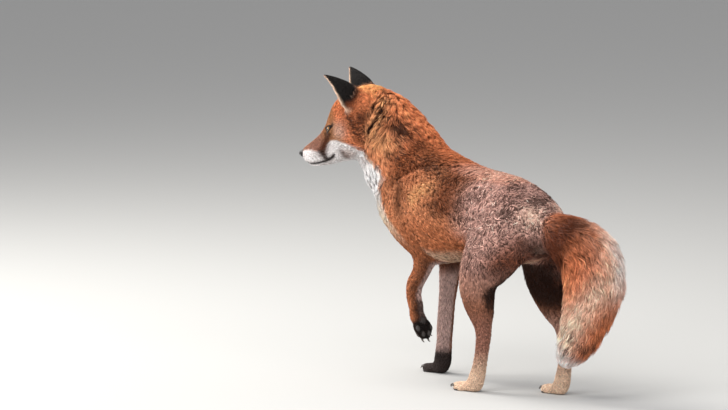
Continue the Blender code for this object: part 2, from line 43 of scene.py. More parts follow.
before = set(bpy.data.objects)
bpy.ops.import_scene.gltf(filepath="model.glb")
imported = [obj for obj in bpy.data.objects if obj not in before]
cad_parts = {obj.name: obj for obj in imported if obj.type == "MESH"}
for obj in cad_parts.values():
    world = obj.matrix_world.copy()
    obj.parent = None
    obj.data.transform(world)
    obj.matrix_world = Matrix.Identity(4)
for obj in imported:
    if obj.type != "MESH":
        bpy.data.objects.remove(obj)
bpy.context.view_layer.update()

# The head's own units: x to the nose, y to the fox's left, z up. The eyes and the nose have
# these places in the solids, so they give the head's frame.
EYE_PLACE = (4.1, 1.95, 1.1)
EYE_RADIUS = 0.85
NOSE_PLACE = np.array((11.05, 0.0, -0.2))
NOSE_RADII = np.array((0.52, 0.64, 0.54))
HEAD_IN_BODY = Vector((46.2, 5.4, 40.4))


def centre_of(node):
    low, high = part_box(node)
    return (low + high) / 2


def head_frame():
    """The head's origin, axes as columns and unit in metres, and the body's origin."""
    left, right, nose = centre_of("eye_left"), centre_of("eye_right"), centre_of("nose")
    middle = (left + right) / 2
    unit = (left - right).length / (2 * EYE_PLACE[1])
    across = (left - right).normalized()
    to_nose = (nose - middle).normalized()
    over = to_nose.cross(across)
    drop = math.atan2(EYE_PLACE[2] - NOSE_PLACE[2], NOSE_PLACE[0] - EYE_PLACE[0])
    ahead = to_nose * math.cos(drop) + over * math.sin(drop)
    up = over * math.cos(drop) - to_nose * math.sin(drop)
    origin = middle - (ahead * EYE_PLACE[0] + up * EYE_PLACE[2]) * unit
    axes = Matrix((ahead, across, up)).transposed()
    return np.array(origin), np.array(axes), unit, np.array(origin - HEAD_IN_BODY * CM)


HEAD_ORIGIN, HEAD_AXES, HEAD_UNIT, BODY_ORIGIN = head_frame()

# Centre lines in centimetres from the floor under the rump, x forward, y left, z up.
TAIL_LINE = (
    (3.4, -0.2, 27.0), (0.4, -1.3, 25.8), (-2.9, -2.6, 23.6), (-4.5, -3.3, 20.4),
    (-4.6, -3.1, 17.2), (-3.9, -2.4, 13.8), (-3.1, -1.6, 10.2), (-1.7, -0.6, 7.6),
    (-0.8, 0.1, 5.8),
)
TAIL_RADII = (3.1, 4.3, 5.25, 5.3, 4.8, 4.1, 3.3, 2.3, 1.1)
LEG_LINES = {
    "hind_left": ((11, 4.4, 27), (14.4, 5.3, 18.4), (13.9, 5.1, 12.6), (13.7, 4.8, 9.4),
                  (15.0, 4.6, 4.2), (16.4, 4.6, 1.4), (20.6, 4.8, 0.8)),
    "hind_right": ((10, -4.4, 27), (11.0, -5.3, 18.4), (8.1, -5.1, 13.2), (5.2, -4.8, 9.8),
                   (4.9, -4.6, 4.3), (6.0, -4.6, 1.4), (10.2, -4.8, 0.8)),
    "fore_left": ((36, 3.4, 29), (33.4, 3.4, 24.2), (32.6, 2.8, 18.8), (34.9, 2.9, 15.2),
                  (34.3, 3.3, 12.2), (32.5, 3.4, 10.9), (30.4, 3.4, 7.0)),
    "fore_right": ((36, -3.4, 27), (34.6, -3.9, 20.0), (35.2, -3.7, 11.4), (35.7, -3.5, 5.2),
                   (36.5, -3.5, 1.4), (40.6, -3.7, 0.8)),
}
NECK_LINE = ((46.0, 5.2, 41.6), (42.0, 2.5, 38.6), (36.4, 0.3, 33.0), (30.0, 0.0, 30.0))
TRUNK_LINE = ((44.0, 0.0, 30.0), (20.0, 0.0, 28.0), (2.0, 0.0, 27.4))

# The ears in the head's units: root, tip and the way each opens.
EARS = {
    "ear_left": ((-0.5, 2.75, 2.4), (0.5, 5.2, 8.7), (1.0, 0.3, -0.25)),
    "ear_right": ((-0.6, -2.75, 2.5), (0.2, -4.7, 9.05), (1.0, -0.05, -0.2)),
}

# The feet: heel over the floor, heading, pitch and length, in the body's centimetres.
FEET = {
    "hind_left": ((16.3, 4.6, -0.25), 4.0, 0.0, 4.7),
    "hind_right": ((5.9, -4.6, -0.25), -4.0, 0.0, 4.7),
    "fore_right": ((36.5, -3.5, -0.25), -3.0, 0.0, 4.5),
    "fore_left": ((32.5, 3.4, 10.9), 0.0, 118.0, 4.28),
}

# Round pieces inside the flesh, which the skin closes over before the lids are cut.
FILLERS = ("eye_left", "eye_right", "nose")
GROUPS = {
    "head": ("head", "lower_jaw"),
    "neck": ("neck",),
    "trunk": ("trunk",),
    "tail": ("tail", "tail_tip"),
    **{name: (f"leg_{name}", f"paw_{name}") for name in LEG_LINES},
    **{name: (name,) for name in EARS},
}
GROUP_NAMES = list(GROUPS)
SLOTS = {"trunk": "coat_brown", "ear_left": "coat_dark", "ear_right": "coat_dark"}

# The line where the lips meet, in the head's units: x and z, from the front to the corner.
MOUTH = (
    (10.75, -1.75), (10.2, -2.2), (9.2, -2.6), (8.0, -2.85), (7.0, -2.92), (6.2, -2.85),
    (5.6, -2.65),
)

# Where the turned head folds the coat of the neck, in the head's units, and how wide each is.
CREASES = (
    (((-5.9, 0.3, 3.3), (-5.8, 2.8, 2.2), (-4.7, 4.2, 1.2), (-3.6, 4.7, 0.1)), 0.22),
    (((-6.8, 2.4, 1.8), (-5.9, 4.0, 0.4), (-4.9, 4.7, -0.5), (-3.4, 5.1, -1.5),
      (-2.1, 5.1, -2.4)), 0.24),
    (((-6.3, 3.9, 0.2), (-5.4, 4.8, -1.2), (-4.2, 5.1, -2.3), (-2.9, 5.1, -3.4)), 0.22),
    (((-5.3, 4.9, -1.5), (-6.3, 4.6, -2.2), (-7.6, 3.9, -2.3), (-8.6, 2.9, -2.6)), 0.24),
    (((-6.2, 4.8, -2.7), (-7.3, 4.5, -3.0), (-8.6, 3.7, -3.4)), 0.2),
)
# The dark-tipped band down the side of the nape, in the head's units.
NAPE_BAND = (
    (-6.8, 4.6, -3.1), (-7.8, 4.3, -4.4), (-8.5, 4.1, -6.0), (-8.8, 4.5, -7.6), (-7.9, 5.5, -8.3),
)

# Patches, edges and folds of the left side, in the body's centimetres. On the shoulder, the light
# line is a painted highlight, and the shade line and the dark of the fold before it are painted
# shade.
RUMP_SHADE, RUMP_LIGHT, ROOT_LIGHT = (8.3, 3.1, 32.3), (12.8, 6.0, 30.2), (3.8, 3.0, 29.4)
REAR_EDGE = ((4.4, 4.7, 25.2), (5.2, 4.6, 23.5), (6.0, 4.2, 21.8))
WITHERS_SHADE = ((35.4, 5.8, 35.8), (33.4, 3.6, 36.8), (28.6, 3.6, 35.2))
SHOULDER_HIGHLIGHT = ((30.0, 7.5, 29.8), (29.2, 7.4, 31.2), (26.6, 7.0, 32.4))
SHOULDER_SHADE = ((34.1, 7.2, 31.0), (33.7, 7.5, 28.2))
SHOULDER_FOLD = ((30.0, 4.1, 35.4), (32.6, 5.5, 34.4), (35.7, 6.6, 32.6), (36.8, 6.8, 31.4))

# The solids swell a little so that they fuse. Each fusing has a grain and passes of smoothing.
# The skin keeps at least this far inside the solids and over the floor.
SWELL = 0.6 * MM
FIRST_VOXEL, FIRST_SMOOTHING = 2.6 * MM, 14
SKIN_VOXEL, SKIN_SMOOTHING = 1.6 * MM, 4
LEAST_COAT = 0.4 * MM
SOLE_HEIGHT = 0.3 * MM
# Passes that soften the borders between groups, for the skin's shape and for its looks, and
# passes that smooth the roots of the ears.
SHAPE_PASSES, LOOKS_PASSES, EAR_PASSES = 40, 10, 12

# No hair grows nearer than this to the middle of the eyes' openings and of the nose, in shares
# of their size, to the line of the lips, in the head's units, and to the floor.
BARE_EYE, BARE_NOSE, BARE_LIPS, BARE_SOLE = 1.3, 1.15, 0.1, 0.8 * MM
# The skin is darker than the hair over it.
SKIN_SHADE = 0.75

RANDOM_SEED = 11
FULL_TRIANGLES = 1_450_000
PIECE_TRIANGLES = 195_000
# The side of the square on the texture that a tuft is unwrapped into.
PATCH = 0.003


def body_cm(points):
    return (points - BODY_ORIGIN) / CM


def from_body(point):
    return Vector(BODY_ORIGIN) + Vector(point) * CM


def head_units(points):
    return (points - HEAD_ORIGIN) @ HEAD_AXES / HEAD_UNIT


def head_points(points):
    return HEAD_ORIGIN + np.asarray(points) @ HEAD_AXES.T * HEAD_UNIT


def from_head(point):
    return Vector(HEAD_ORIGIN) + Matrix(HEAD_AXES) @ Vector(point) * HEAD_UNIT


# ---- small tools


def ease(low, high, value):
    t = np.clip((value - low) / (high - low), 0.0, 1.0)
    return t * t * (3 - 2 * t)


def bump(value, centre, width):
    """1 at the centre, falling to 0 about a width away."""
    return np.exp(-(((value - centre) / width) ** 2))


def unit_rows(vectors):
    return vectors / np.maximum(np.linalg.norm(vectors, axis=1, keepdims=True), 1e-12)


def colour(red, green, blue):
    """A linear colour from the 0 to 255 values that a screen shows."""
    values = np.array((red, green, blue)) / 255
    return np.where(values <= 0.04045, values / 12.92, ((values + 0.055) / 1.055) ** 2.4)


def noise(points, size, seed=0):
    """Smooth noise from -1 to 1, its lumps about `size` across in the points' own unit."""
    place = np.asarray(points, float) / size + 31.7 * seed
    cell = np.floor(place).astype(np.int64)
    part = place - cell
    part = part * part * (3 - 2 * part)
    total = np.zeros(len(place))
    for corner in itertools.product((0, 1), repeat=3):
        key = (cell + corner) @ np.array((73856093, 19349663, 83492791)) + 7919 * seed
        key = ((key ^ (key >> 13)) * 1274126177) & 0x7FFFFFFF
        key = (key ^ (key >> 15)) & 0xFFFF
        share = np.prod(np.where(corner, part, 1 - part), axis=1)
        total += (key / 32767.5 - 1) * share
    return total


def along_line(points, line):
    """How far along a line of points each place is, from 0 to 1, and the line's direction there."""
    line = np.array(line, float)
    steps = np.diff(line, axis=0)
    lengths = np.linalg.norm(steps, axis=1)
    starts = np.concatenate([[0], np.cumsum(lengths)])
    best = np.full(len(points), 1e9)
    share = np.zeros(len(points))
    nearest = np.zeros((len(points), 3))
    for i, step in enumerate(steps):
        t = np.clip((points - line[i]) @ step / lengths[i] ** 2, 0, 1)
        spot = line[i] + t[:, None] * step
        gap = np.linalg.norm(points - spot, axis=1)
        closer = gap < best
        best = np.where(closer, gap, best)
        share = np.where(closer, (starts[i] + t * lengths[i]) / starts[-1], share)
        nearest[closer] = spot[closer]
    middles = (starts[:-1] + starts[1:]) / 2 / starts[-1]
    unit_steps = steps / lengths[:, None]
    direction = np.stack([np.interp(share, middles, unit_steps[:, k]) for k in range(3)], axis=1)
    return share, unit_rows(direction), nearest


def mix(base, other, share):
    share = np.asarray(share)[:, None]
    return base * (1 - share) + other * share


def painted(count, base, layers):
    """A colour for each point, under layers that each have a colour and a share of their own."""
    tint = np.tile(base, (count, 1))
    for shade, share in layers:
        tint = mix(tint, shade, share)
    return tint


def to_left(points):
    """The places, with those on the right side mirrored to the left."""
    return np.stack([points[:, 0], np.abs(points[:, 1]), points[:, 2]], axis=1)


def spot_at(points, centre, width):
    """1 at a place, falling to 0 about a width away."""
    return bump(np.linalg.norm(points - np.array(centre), axis=1), 0.0, width)


def beside(points, line, width):
    """1 on a line of points, falling to 0 about a width away."""
    _, _, nearest = along_line(points, line)
    return bump(np.linalg.norm(points - nearest, axis=1), 0.0, width)


def linked(data, name):
    obj = bpy.data.objects.new(name, data)
    bpy.context.scene.collection.objects.link(obj)
    return obj


def applied(obj):
    """The object's mesh with its modifiers in it. The object is removed."""
    bpy.context.view_layer.update()
    graph = bpy.context.evaluated_depsgraph_get()
    mesh = bpy.data.meshes.new_from_object(obj.evaluated_get(graph))
    bpy.data.objects.remove(obj)
    return mesh


def read(data, key, kind, wide=3):
    """A value of each item of a mesh, as rows."""
    values = np.empty(len(data) * wide, kind)
    data.foreach_get(key, values)
    return values.reshape(-1, wide)


def read_points(mesh):
    return read(mesh.vertices, "co", np.float32).astype(float)


def read_normals(mesh):
    return read(mesh.vertex_normals, "vector", np.float32).astype(float)


def read_triangles(mesh):
    mesh.calc_loop_triangles()
    return read(mesh.loop_triangles, "vertices", np.int32)


def read_edges(mesh):
    return read(mesh.edges, "vertices", np.int32, 2)


def write_points(mesh, points):
    mesh.vertices.foreach_set("co", np.ascontiguousarray(points, np.float32).ravel())
    mesh.update()


def relaxed(values, edges, times, hold=0.5):
    """Values on a mesh's points, each moved towards the mean of its neighbours, several times."""
    count = len(values)
    near = np.bincount(edges.ravel(), minlength=count).astype(float)[:, None]
    for _ in range(times):
        total = np.empty_like(values)
        for k in range(values.shape[1]):
            total[:, k] = np.bincount(edges[:, 0], values[edges[:, 1], k], count)
            total[:, k] += np.bincount(edges[:, 1], values[edges[:, 0], k], count)
        values = values * hold + (1 - hold) * total / np.maximum(near, 1)
    return values


def mesh_of(shape, name):
    """A bmesh made into a smooth mesh, and freed."""
    mesh = bpy.data.meshes.new(name)
    shape.to_mesh(mesh)
    shape.free()
    mesh.shade_smooth()
    return mesh


def set_tint(mesh, tint):
    layer = mesh.color_attributes.new("tint", "FLOAT_COLOR", "POINT")
    rgba = np.ones((len(tint), 4), np.float32)
    rgba[:, :3] = np.clip(tint, 0, 1)
    layer.data.foreach_set("color", rgba.ravel())


# ---- the skin's shape


def flesh_mesh():
    """The flesh nodes in one mesh, with the round pieces that sit in them."""
    shape = bmesh.new()
    for nodes in (*GROUPS.values(), FILLERS):
        for name in nodes:
            shape.from_mesh(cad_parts[name].data)
    bmesh.ops.remove_doubles(shape, verts=shape.verts, dist=0.01 * MM)
    return mesh_of(shape, "flesh")


def fused(mesh, grow, voxel, smoothing):
    """The mesh grown, made one surface of even facets, and smoothed."""
    obj = linked(mesh, "fused")
    swell = obj.modifiers.new("swell", "DISPLACE")
    swell.mid_level = 0.0
    swell.strength = grow
    remesh = obj.modifiers.new("fuse", "REMESH")
    remesh.mode = "VOXEL"
    remesh.voxel_size = voxel
    smooth = obj.modifiers.new("smooth", "SMOOTH")
    smooth.factor = 0.5
    smooth.iterations = smoothing
    return applied(obj)


def group_finder():
    """A search tree over the solids' faces, and the group that each face belongs to."""
    points, faces, owners = [], [], []
    for index, nodes in enumerate(GROUPS.values()):
        for name in nodes:
            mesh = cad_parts[name].data
            start = len(points)
            points += [vertex.co for vertex in mesh.vertices]
            for face in mesh.polygons:
                faces.append([start + i for i in face.vertices])
                owners.append(index)
    return BVHTree.FromPolygons(points, faces), owners


def group_shares(points, edges, times):
    """How much each point belongs to each group, softened across their borders."""
    tree, owners = group_finder()
    nearest = [owners[tree.find_nearest(p)[2]] for p in points]
    shares = np.zeros((len(points), len(GROUPS)))
    shares[np.arange(len(points)), nearest] = 1
    return relaxed(shares, edges, times), np.array(nearest)


def blended(shares, values):
    """One value for each point, from the groups' own values and the point's shares in them."""
    return sum(shares[:, i] * values.get(name, 0.0) for i, name in enumerate(GROUPS))


def blended_rows(shares, values):
    """The same for colours and directions."""
    return sum(shares[:, [i]] * values[name] for i, name in enumerate(GROUPS))


def rear_of_head(head):
    """Shares of the skull, of its rear and of the cheeks at places in the head's units."""
    back = ease(4.5, -0.5, head[:, 0])
    rear = ease(-0.5, -5.0, head[:, 0])
    cheek = ease(4.0, 1.0, head[:, 0]) * ease(-0.5, -3.5, head[:, 2])
    return back, rear, cheek


def leg_height(body, name):
    """Height over the sole, as if the lifted forefoot stood on the floor."""
    return body[:, 2] - (6.0 if name == "fore_left" else 0.0)


def coat_depth(points, shares):
    """How deep the coat is at each point, in metres."""
    body, head = body_cm(points), head_units(points)
    tail_share, _, _ = along_line(body, TAIL_LINE)
    radius = np.interp(tail_share, np.linspace(0, 1, len(TAIL_RADII)), TAIL_RADII)
    back, rear, cheek = rear_of_head(head)
    near_nose = ease(8.5, 10.5, head[:, 0])
    depths = {
        "head": 1.2 - 0.8 * near_nose + 2.6 * back + 4.0 * rear + 3.0 * cheek,
        "neck": 9.5,
        "trunk": 6.0 + 2.5 * ease(24, 32, body[:, 2]),
        "tail": 3.6 * radius,
        **{name: 0.8 for name in EARS},
    }
    for name in LEG_LINES:
        height = leg_height(body, name)
        depths[name] = 1.0 + 1.1 * ease(2, 6, height) + 5.0 * ease(11, 25, height)
    return blended(shares, depths) * MM


def eye_centre(side):
    return np.array((EYE_PLACE[0], EYE_PLACE[1] * side, EYE_PLACE[2]))


def eye_axes(side):
    """The eye's axes in the head's units: along the lids, up across them, and out."""
    out = Vector((0.58, 0.80 * side, 0.16)).normalized()
    along = Vector((-0.78, 0.56 * side, 0.24))
    along = (along - out * along.dot(out)).normalized()
    up = out.cross(along) * -side
    return np.array(along), np.array(up), np.array(out)


def eye_view(head, side):
    """Places seen from the eye's middle: along and across the lids, outward, and how far."""
    arm = head - eye_centre(side)
    reach = np.linalg.norm(arm, axis=1)
    way = arm / np.maximum(reach, 1e-6)[:, None]
    along, up, out = eye_axes(side)
    return way @ along, way @ up, way @ out, reach


LID_HALF_LENGTH = 0.80
LID_RISE = 0.46
LID_DROP = 0.38
LID_REACH = EYE_RADIUS + 0.09


def lid_edge(across, upper):
    """How far the opening between the lids reaches up or down, at a place along it."""
    share = np.clip(1 - (across / LID_HALF_LENGTH) ** 2, 0, 1) ** 0.8
    return share * (LID_RISE if upper else LID_DROP)


def lid_share(head, side):
    """0 in the middle of the opening between the lids, 1 at their edges, more beyond them."""
    u, v, w, reach = eye_view(head, side)
    edge = np.where(v > 0, LID_RISE, LID_DROP)
    share = np.hypot(u / LID_HALF_LENGTH, v / edge)
    return np.where((w > 0) & (reach < 1.8), share, 9.0)


def mouth_gap(head):
    """Height over the line of the lips, and how much a place is beside the mouth."""
    line = np.array(MOUTH)[::-1]
    above = head[:, 2] - np.interp(head[:, 0], line[:, 0], line[:, 1])
    return above, ease(5.3, 5.9, head[:, 0])


def sculpt_face(points, normals):
    """Moves the skin of the head: eye sockets, brow, mouth crease and whisker pads."""
    head = head_units(points)
    facing = normals @ HEAD_AXES
    ahead = ease(0.0, 2.0, head[:, 0])
    side = np.abs(head[:, 1])
    above, beside = mouth_gap(head)
    beside = beside * ahead
    lumps = (
        (-0.20, bump(above, 0.0, 0.12) * beside),
        (0.08, bump(above, 0.42, 0.3) * beside),
        (0.03, bump(above, -0.35, 0.25) * beside),
        (0.10, bump(head[:, 0], 9.2, 1.0) * bump(side, 1.2, 0.9) * bump(head[:, 2], -1.3, 0.7)),
        (0.20, bump(head[:, 0], 3.5, 0.9) * bump(side, 1.9, 0.6) * bump(head[:, 2], 2.3, 0.5)),
        (-0.20, bump(head[:, 0], 5.4, 0.8) * bump(side, 1.6, 0.6) * bump(head[:, 2], 0.6, 0.8)),
        (0.14, bump(head[:, 0], 3.2, 1.2) * bump(side, 3.0, 0.9) * bump(head[:, 2], -0.4, 0.8)),
        (-0.08, bump(head[:, 0], 7.6, 2.2) * bump(side, 1.3, 0.5) * bump(head[:, 2], 0.0, 0.45)),
    )
    rise = sum(height * where for height, where in lumps)
    head = head + facing * rise[:, None]
    arm = (head - NOSE_PLACE) / NOSE_RADII
    within = ease(1.25, 0.95, np.linalg.norm(arm, axis=1)) * ease(-0.9, -0.3, arm[:, 0])
    head = head - (head - NOSE_PLACE) * 0.45 * within[:, None]
    for sign in (1, -1):
        u, v, w, reach = eye_view(head, sign)
        turn = np.arccos(np.clip(w, -1, 1))
        hold = ease(1.35, 0.9, turn) * ease(2.2, 1.5, reach)
        opened = np.abs(v) < np.where(v > 0, lid_edge(u, True), lid_edge(u, False))
        target = np.where(opened & (w > 0), 0.75 * EYE_RADIUS, LID_REACH)
        wanted = reach + (target - reach) * hold
        sunk = (turn < 1.3) & (reach < 1.6) & ~opened
        wanted = np.where(sunk, np.maximum(wanted, LID_REACH), wanted)
        centre = eye_centre(sign)
        head = centre + (head - centre) * (wanted / np.maximum(reach, 1e-6))[:, None]
    return head_points(head)


def finer_face(mesh):
    """Cuts the skin's facets smaller round the eyes and along the lips."""
    head = head_units(read_points(mesh))
    above, beside = mouth_gap(head)
    fine = (np.abs(above) < 0.4) & (beside > 0) & (head[:, 0] < 12)
    for sign in (1, -1):
        fine |= np.linalg.norm(head - eye_centre(sign), axis=1) < 1.6
    shape = bmesh.new()
    shape.from_mesh(mesh)
    edges = [e for e in shape.edges if fine[e.verts[0].index] and fine[e.verts[1].index]]
    bmesh.ops.subdivide_edges(shape, edges=edges, cuts=2, use_grid_fill=True)
    shape.to_mesh(mesh)
    shape.free()


def ear_frame(name):
    """An ear's root, rise, opening and width direction, in the head's units."""
    root, tip, opening = (np.array(v) for v in EARS[name])
    rise = tip - root
    along = rise / np.linalg.norm(rise)
    opening = opening - along * (opening @ along)
    opening /= np.linalg.norm(opening)
    return root, rise, opening, np.cross(along, opening)


def skin_mesh():
    """The skin, inside the solids by the depth of the coat."""
    outer = fused(flesh_mesh(), SWELL, FIRST_VOXEL, FIRST_SMOOTHING)
    points, normals, edges = read_points(outer), read_normals(outer), read_edges(outer)
    shares, _ = group_shares(points, edges, SHAPE_PASSES)
    ears = sum(shares[:, GROUP_NAMES.index(name)] for name in EARS)
    at_root = np.clip(4 * ears * (1 - ears), 0, 1)[:, None]
    points += (relaxed(points, edges, EAR_PASSES) - points) * at_root
    write_points(outer, points - normals * (coat_depth(points, shares) + LEAST_COAT)[:, None])
    inner = fused(outer, 0.0, SKIN_VOXEL, SKIN_SMOOTHING)
    finer_face(inner)
    points = sculpt_face(read_points(inner), read_normals(inner))
    points[:, 2] = np.maximum(points[:, 2], SOLE_HEIGHT)
    write_points(inner, points)
    return inner


# ---- the lie of the coat


def in_the_skin(way, normals):
    return unit_rows(way - normals * np.sum(way * normals, axis=1, keepdims=True))


def lie_of_coat(points, normals, shares, edges):
    """The way the hair points, along the skin."""
    body, head = body_cm(points), head_units(points)
    flank = np.abs(normals[:, 1])
    breast = ease(36, 42, body[:, 0]) * ease(34, 28, body[:, 2])
    rump = ease(9, 3, body[:, 0])
    back = -1 + 0.6 * breast + 0.4 * rump
    drop = -0.12 - 0.35 * flank - 0.9 * breast - 0.6 * rump
    high = ease(6.0, 1.0, head[:, 0])
    low = ease(1.5, -1.5, head[:, 2])
    aside = np.sign(head[:, 1]) * (0.12 + 0.35 * high * bump(head[:, 2], -1.5, 2.5))
    local = np.stack([-np.ones(len(head)), aside, 0.1 - 0.7 * high * low], axis=1)
    ways = {
        "trunk": unit_rows(np.stack([back, 0 * flank, drop], axis=1)),
        "neck": along_line(body, NECK_LINE)[1] + np.array((0, 0, -0.25)) * flank[:, None],
        "tail": along_line(body, TAIL_LINE)[1],
        "head": unit_rows(local) @ HEAD_AXES.T,
    }
    for name, line in LEG_LINES.items():
        thigh = ease(15, 23, body[:, 2])[:, None]
        ways[name] = along_line(body, line)[1] + thigh * np.array((-0.55, 0, 0.1))
    # Behind the ear the hair hangs down along the folds.
    down = along_line(head, CREASES[1][0])[1] @ HEAD_AXES.T
    hangs = np.clip(1.5 * beside(head, CREASES[1][0], 2.6), 0, 1)
    ways["neck"] = mix(unit_rows(ways["neck"]), down, hangs)
    ways["head"] = mix(ways["head"], down, hangs * ease(-1.5, -3.0, head[:, 0]))
    for name in EARS:
        ways[name] = unit_rows(np.tile(HEAD_AXES @ ear_frame(name)[1], (len(head), 1)))
    way = blended_rows(shares, {name: unit_rows(value) for name, value in ways.items()})
    for _ in range(5):
        way = relaxed(in_the_skin(way, normals), edges, 3)
    return in_the_skin(way, normals)


# ---- the markings, with painted light and shade

RUST = colour(210, 124, 80)
DEEP_RUST = colour(140, 74, 44)
ORANGE = colour(226, 150, 106)
# The crown's orange, lifted by a painted highlight on the top of the head.
CROWN = colour(255, 166, 106) * 1.13
GOLD = colour(240, 180, 124)
FLANK = colour(182, 112, 74)
FOREHEAD = colour(176, 118, 76)
BRIDGE = colour(158, 112, 96)
BROWN = colour(94, 50, 32)
DARK = colour(50, 26, 16)
BLACK = colour(19, 14, 12)
PINK_GREY = colour(208, 163, 150)
PINK_RUST = colour(224, 172, 152)
SHANK = colour(166, 114, 96)
LOWER_THIGH = colour(152, 96, 68)
LEG_GREY = colour(206, 174, 166)
CREAM = colour(242, 208, 180)
WHITE = colour(250, 242, 240)
TAN = colour(208, 172, 154)
TAIL_DARK = colour(80, 36, 18)
TAIL_RUST = colour(210, 124, 82)
TAIL_PALE = colour(255, 214, 190)
TIP_WHITE = colour(252, 240, 238)

# The way the throat faces, square to the neck, and the side of the tail away from the legs.
THROAT_WAY = np.array((0.61, 0.25, -0.75))
TAIL_OUTER = np.array((-0.59, -0.81, 0.0))


def crease_share(head):
    """How much each place lies in a fold of the neck's coat."""
    total = np.zeros(len(head))
    for line, width in CREASES:
        total = np.maximum(total, beside(head, line, width))
    return total


def streaks(body, line, lengthwise, width, seed):
    """Noise drawn out along a centre line, like hair that lies along it."""
    share, _, nearest = along_line(body, line)
    arm = body - nearest
    turn = np.arctan2(arm[:, 1], arm[:, 2]) * np.linalg.norm(arm, axis=1).mean()
    return noise(np.stack([share * lengthwise, turn, 0 * turn], axis=1), width, seed)


def nape_share(body, head):
    """How much each place lies in the dark-tipped band of the nape, which is broken in strands."""
    strand = streaks(body, NECK_LINE, 6.0, 0.8, 20)
    band = np.maximum(beside(head, NAPE_BAND, 1.6), beside(body, WITHERS_SHADE, 2.6))
    return band * (0.8 + 0.7 * strand)


def trunk_marks(body, normals):
    x, z = body[:, 0], body[:, 2]
    facing_up = normals[:, 2]
    drift, blotch = noise(body, 5.0, 1), noise(body, 2.2, 2)
    high = ease(26.0, 29.0, z + drift)
    rump = ease(19.0, 15.0, x + 1.5 * drift) * ease(20.0, 23.0, z)
    ridge = ease(0.8, 0.97, facing_up) * ease(30, 32, z) * ease(9, 14, x)
    nape = ease(31, 35, x) * ease(34, 36, z)
    mirrored = to_left(body)
    breast = ((21.0, 23.4, 26.1, 29.5, 34.2, 38.0), (29.2, 32.2, 36.6, 39.4, 42.8, 46.0))
    border = np.interp(z, *breast)
    front = ease(0.3, 1.7, x - border + 0.5 * drift)
    under = ease(6.5, 4.4, x) * ease(27.6, 26.0, z) * bump(body[:, 1], 0.0, 2.8)
    return painted(len(body), ORANGE * 0.9, (
        (DEEP_RUST, 0.45 * ease(0.0, 0.5, blotch)),
        (FLANK * 1.1, 0.9 * ease(28.0, 25.0, z + drift) * ease(35, 31, x)),
        (RUST, 0.7 * bump(x, 36, 5) * ease(31, 34, z + drift)),
        (PINK_GREY * 0.8, 0.8 * ease(23.0, 17.0, x + 1.5 * drift) * ease(23.0, 26.0, z)),
        (DEEP_RUST * 0.62, 0.9 * bump(x + 1.2 * drift, 22.4, 3.9) * high),
        (PINK_GREY, 0.95 * rump),
        # The top of the back and the nape are paler and redder: partly the coat's own colour, partly
        # painted rim light.
        (RUST, 0.8 * ridge * ease(36, 32, x)),
        (PINK_RUST, 0.9 * ridge * ease(28, 20, x)),
        (RUST * 1.25, 0.8 * nape),
        # Painted highlight and painted shade on the shoulder, and painted shade in the fold before
        # it.
        (GOLD * 1.1, 0.7 * beside(mirrored, SHOULDER_HIGHLIGHT, 1.1)),
        (DEEP_RUST * 0.35, 0.9 * beside(mirrored, SHOULDER_SHADE, 1.1)),
        (DEEP_RUST * 0.6, 0.85 * beside(body, SHOULDER_FOLD, 0.65)),
        (CREAM, 0.7 * ease(22.2, 20.6, z + 0.4 * drift) * ease(0.0, -0.5, facing_up)),
        (CREAM * 1.1, 0.95 * front),
        (WHITE, front * ease(23.0, 31.0, z + drift)),
        (BROWN, 0.35 * spot_at(mirrored, RUMP_SHADE, 2.2)),
        (TAN * 1.25, 0.9 * spot_at(mirrored, ROOT_LIGHT, 2.2)),
        (RUST, 0.55 * ease(6.0, 3.5, x) * ease(31, 33, z)),
        (DEEP_RUST, 0.9 * spot_at(mirrored, (5.8, 5.6, 22.8), 2.4)),
        (PINK_RUST, 0.5 * spot_at(mirrored, (18.6, 6.5, 27.3), 1.5)),
        (DEEP_RUST * 0.5, 0.9 * beside(mirrored, REAR_EDGE, 1.1)),
        # Darker between the hind thigh and the root of the tail, and under the tail's root: painted
        # shade.
        (BROWN * 0.5, np.clip(1.3 * spot_at(mirrored, (4.2, 2.4, 23.6), 1.8), 0, 0.95)),
        (BLACK, spot_at(mirrored, (2.9, 2.0, 25.9), 0.8)),
        (BROWN * 0.7, under),
        (TAN * 0.8, 0.5 * under * bump(body[:, 1], 1.6, 1.0) * ease(-0.2, 0.3, blotch)),
    ))


def neck_marks(body, head, normals):
    drift = noise(body, 3.0, 3)
    _, _, nearest = along_line(body, NECK_LINE)
    outward = unit_rows(body - nearest)
    strand = streaks(body, NECK_LINE, 6.0, 0.75, 4)
    broad = streaks(body, NECK_LINE, 5.0, 1.8, 14)
    behind = beside(head, CREASES[1][0], 1.6)
    crease = crease_share(head)
    border = 0.62 + 0.22 * ease(36.0, 40.0, nearest[:, 2])
    throat = ease(-0.08, 0.1, outward @ THROAT_WAY - border + 0.06 * drift)
    return painted(len(body), ORANGE, (
        (RUST * 1.25, 0.9 * ease(0.1, 0.7, normals[:, 2] + 0.2 * drift)),
        (GOLD, 0.6 * spot_at(head, (-3.6, 5.3, -4.4), 1.7)),
        (DEEP_RUST, 0.5 * ease(0.1, 0.55, strand)),
        (GOLD, 0.35 * ease(0.1, 0.5, broad) * ease(0.5, 0.0, normals[:, 2])),
        # Along the folds of the neck: the darker rust beside the second fold and the dark in the
        # folds are painted shade, the gold at the folds' edges is a painted highlight on lit hair
        # tips, and the brown at the shoulder fold is painted shade.
        (RUST * 0.6, 0.7 * behind),
        (GOLD * 1.1, 0.85 * behind * bump(crease, 0.1, 0.09)),
        (DARK * 0.6, ease(0.22, 0.6, crease)),
        (BROWN, 0.6 * beside(body, SHOULDER_FOLD, 0.9)),
        (WHITE * 1.12, throat),
    ))


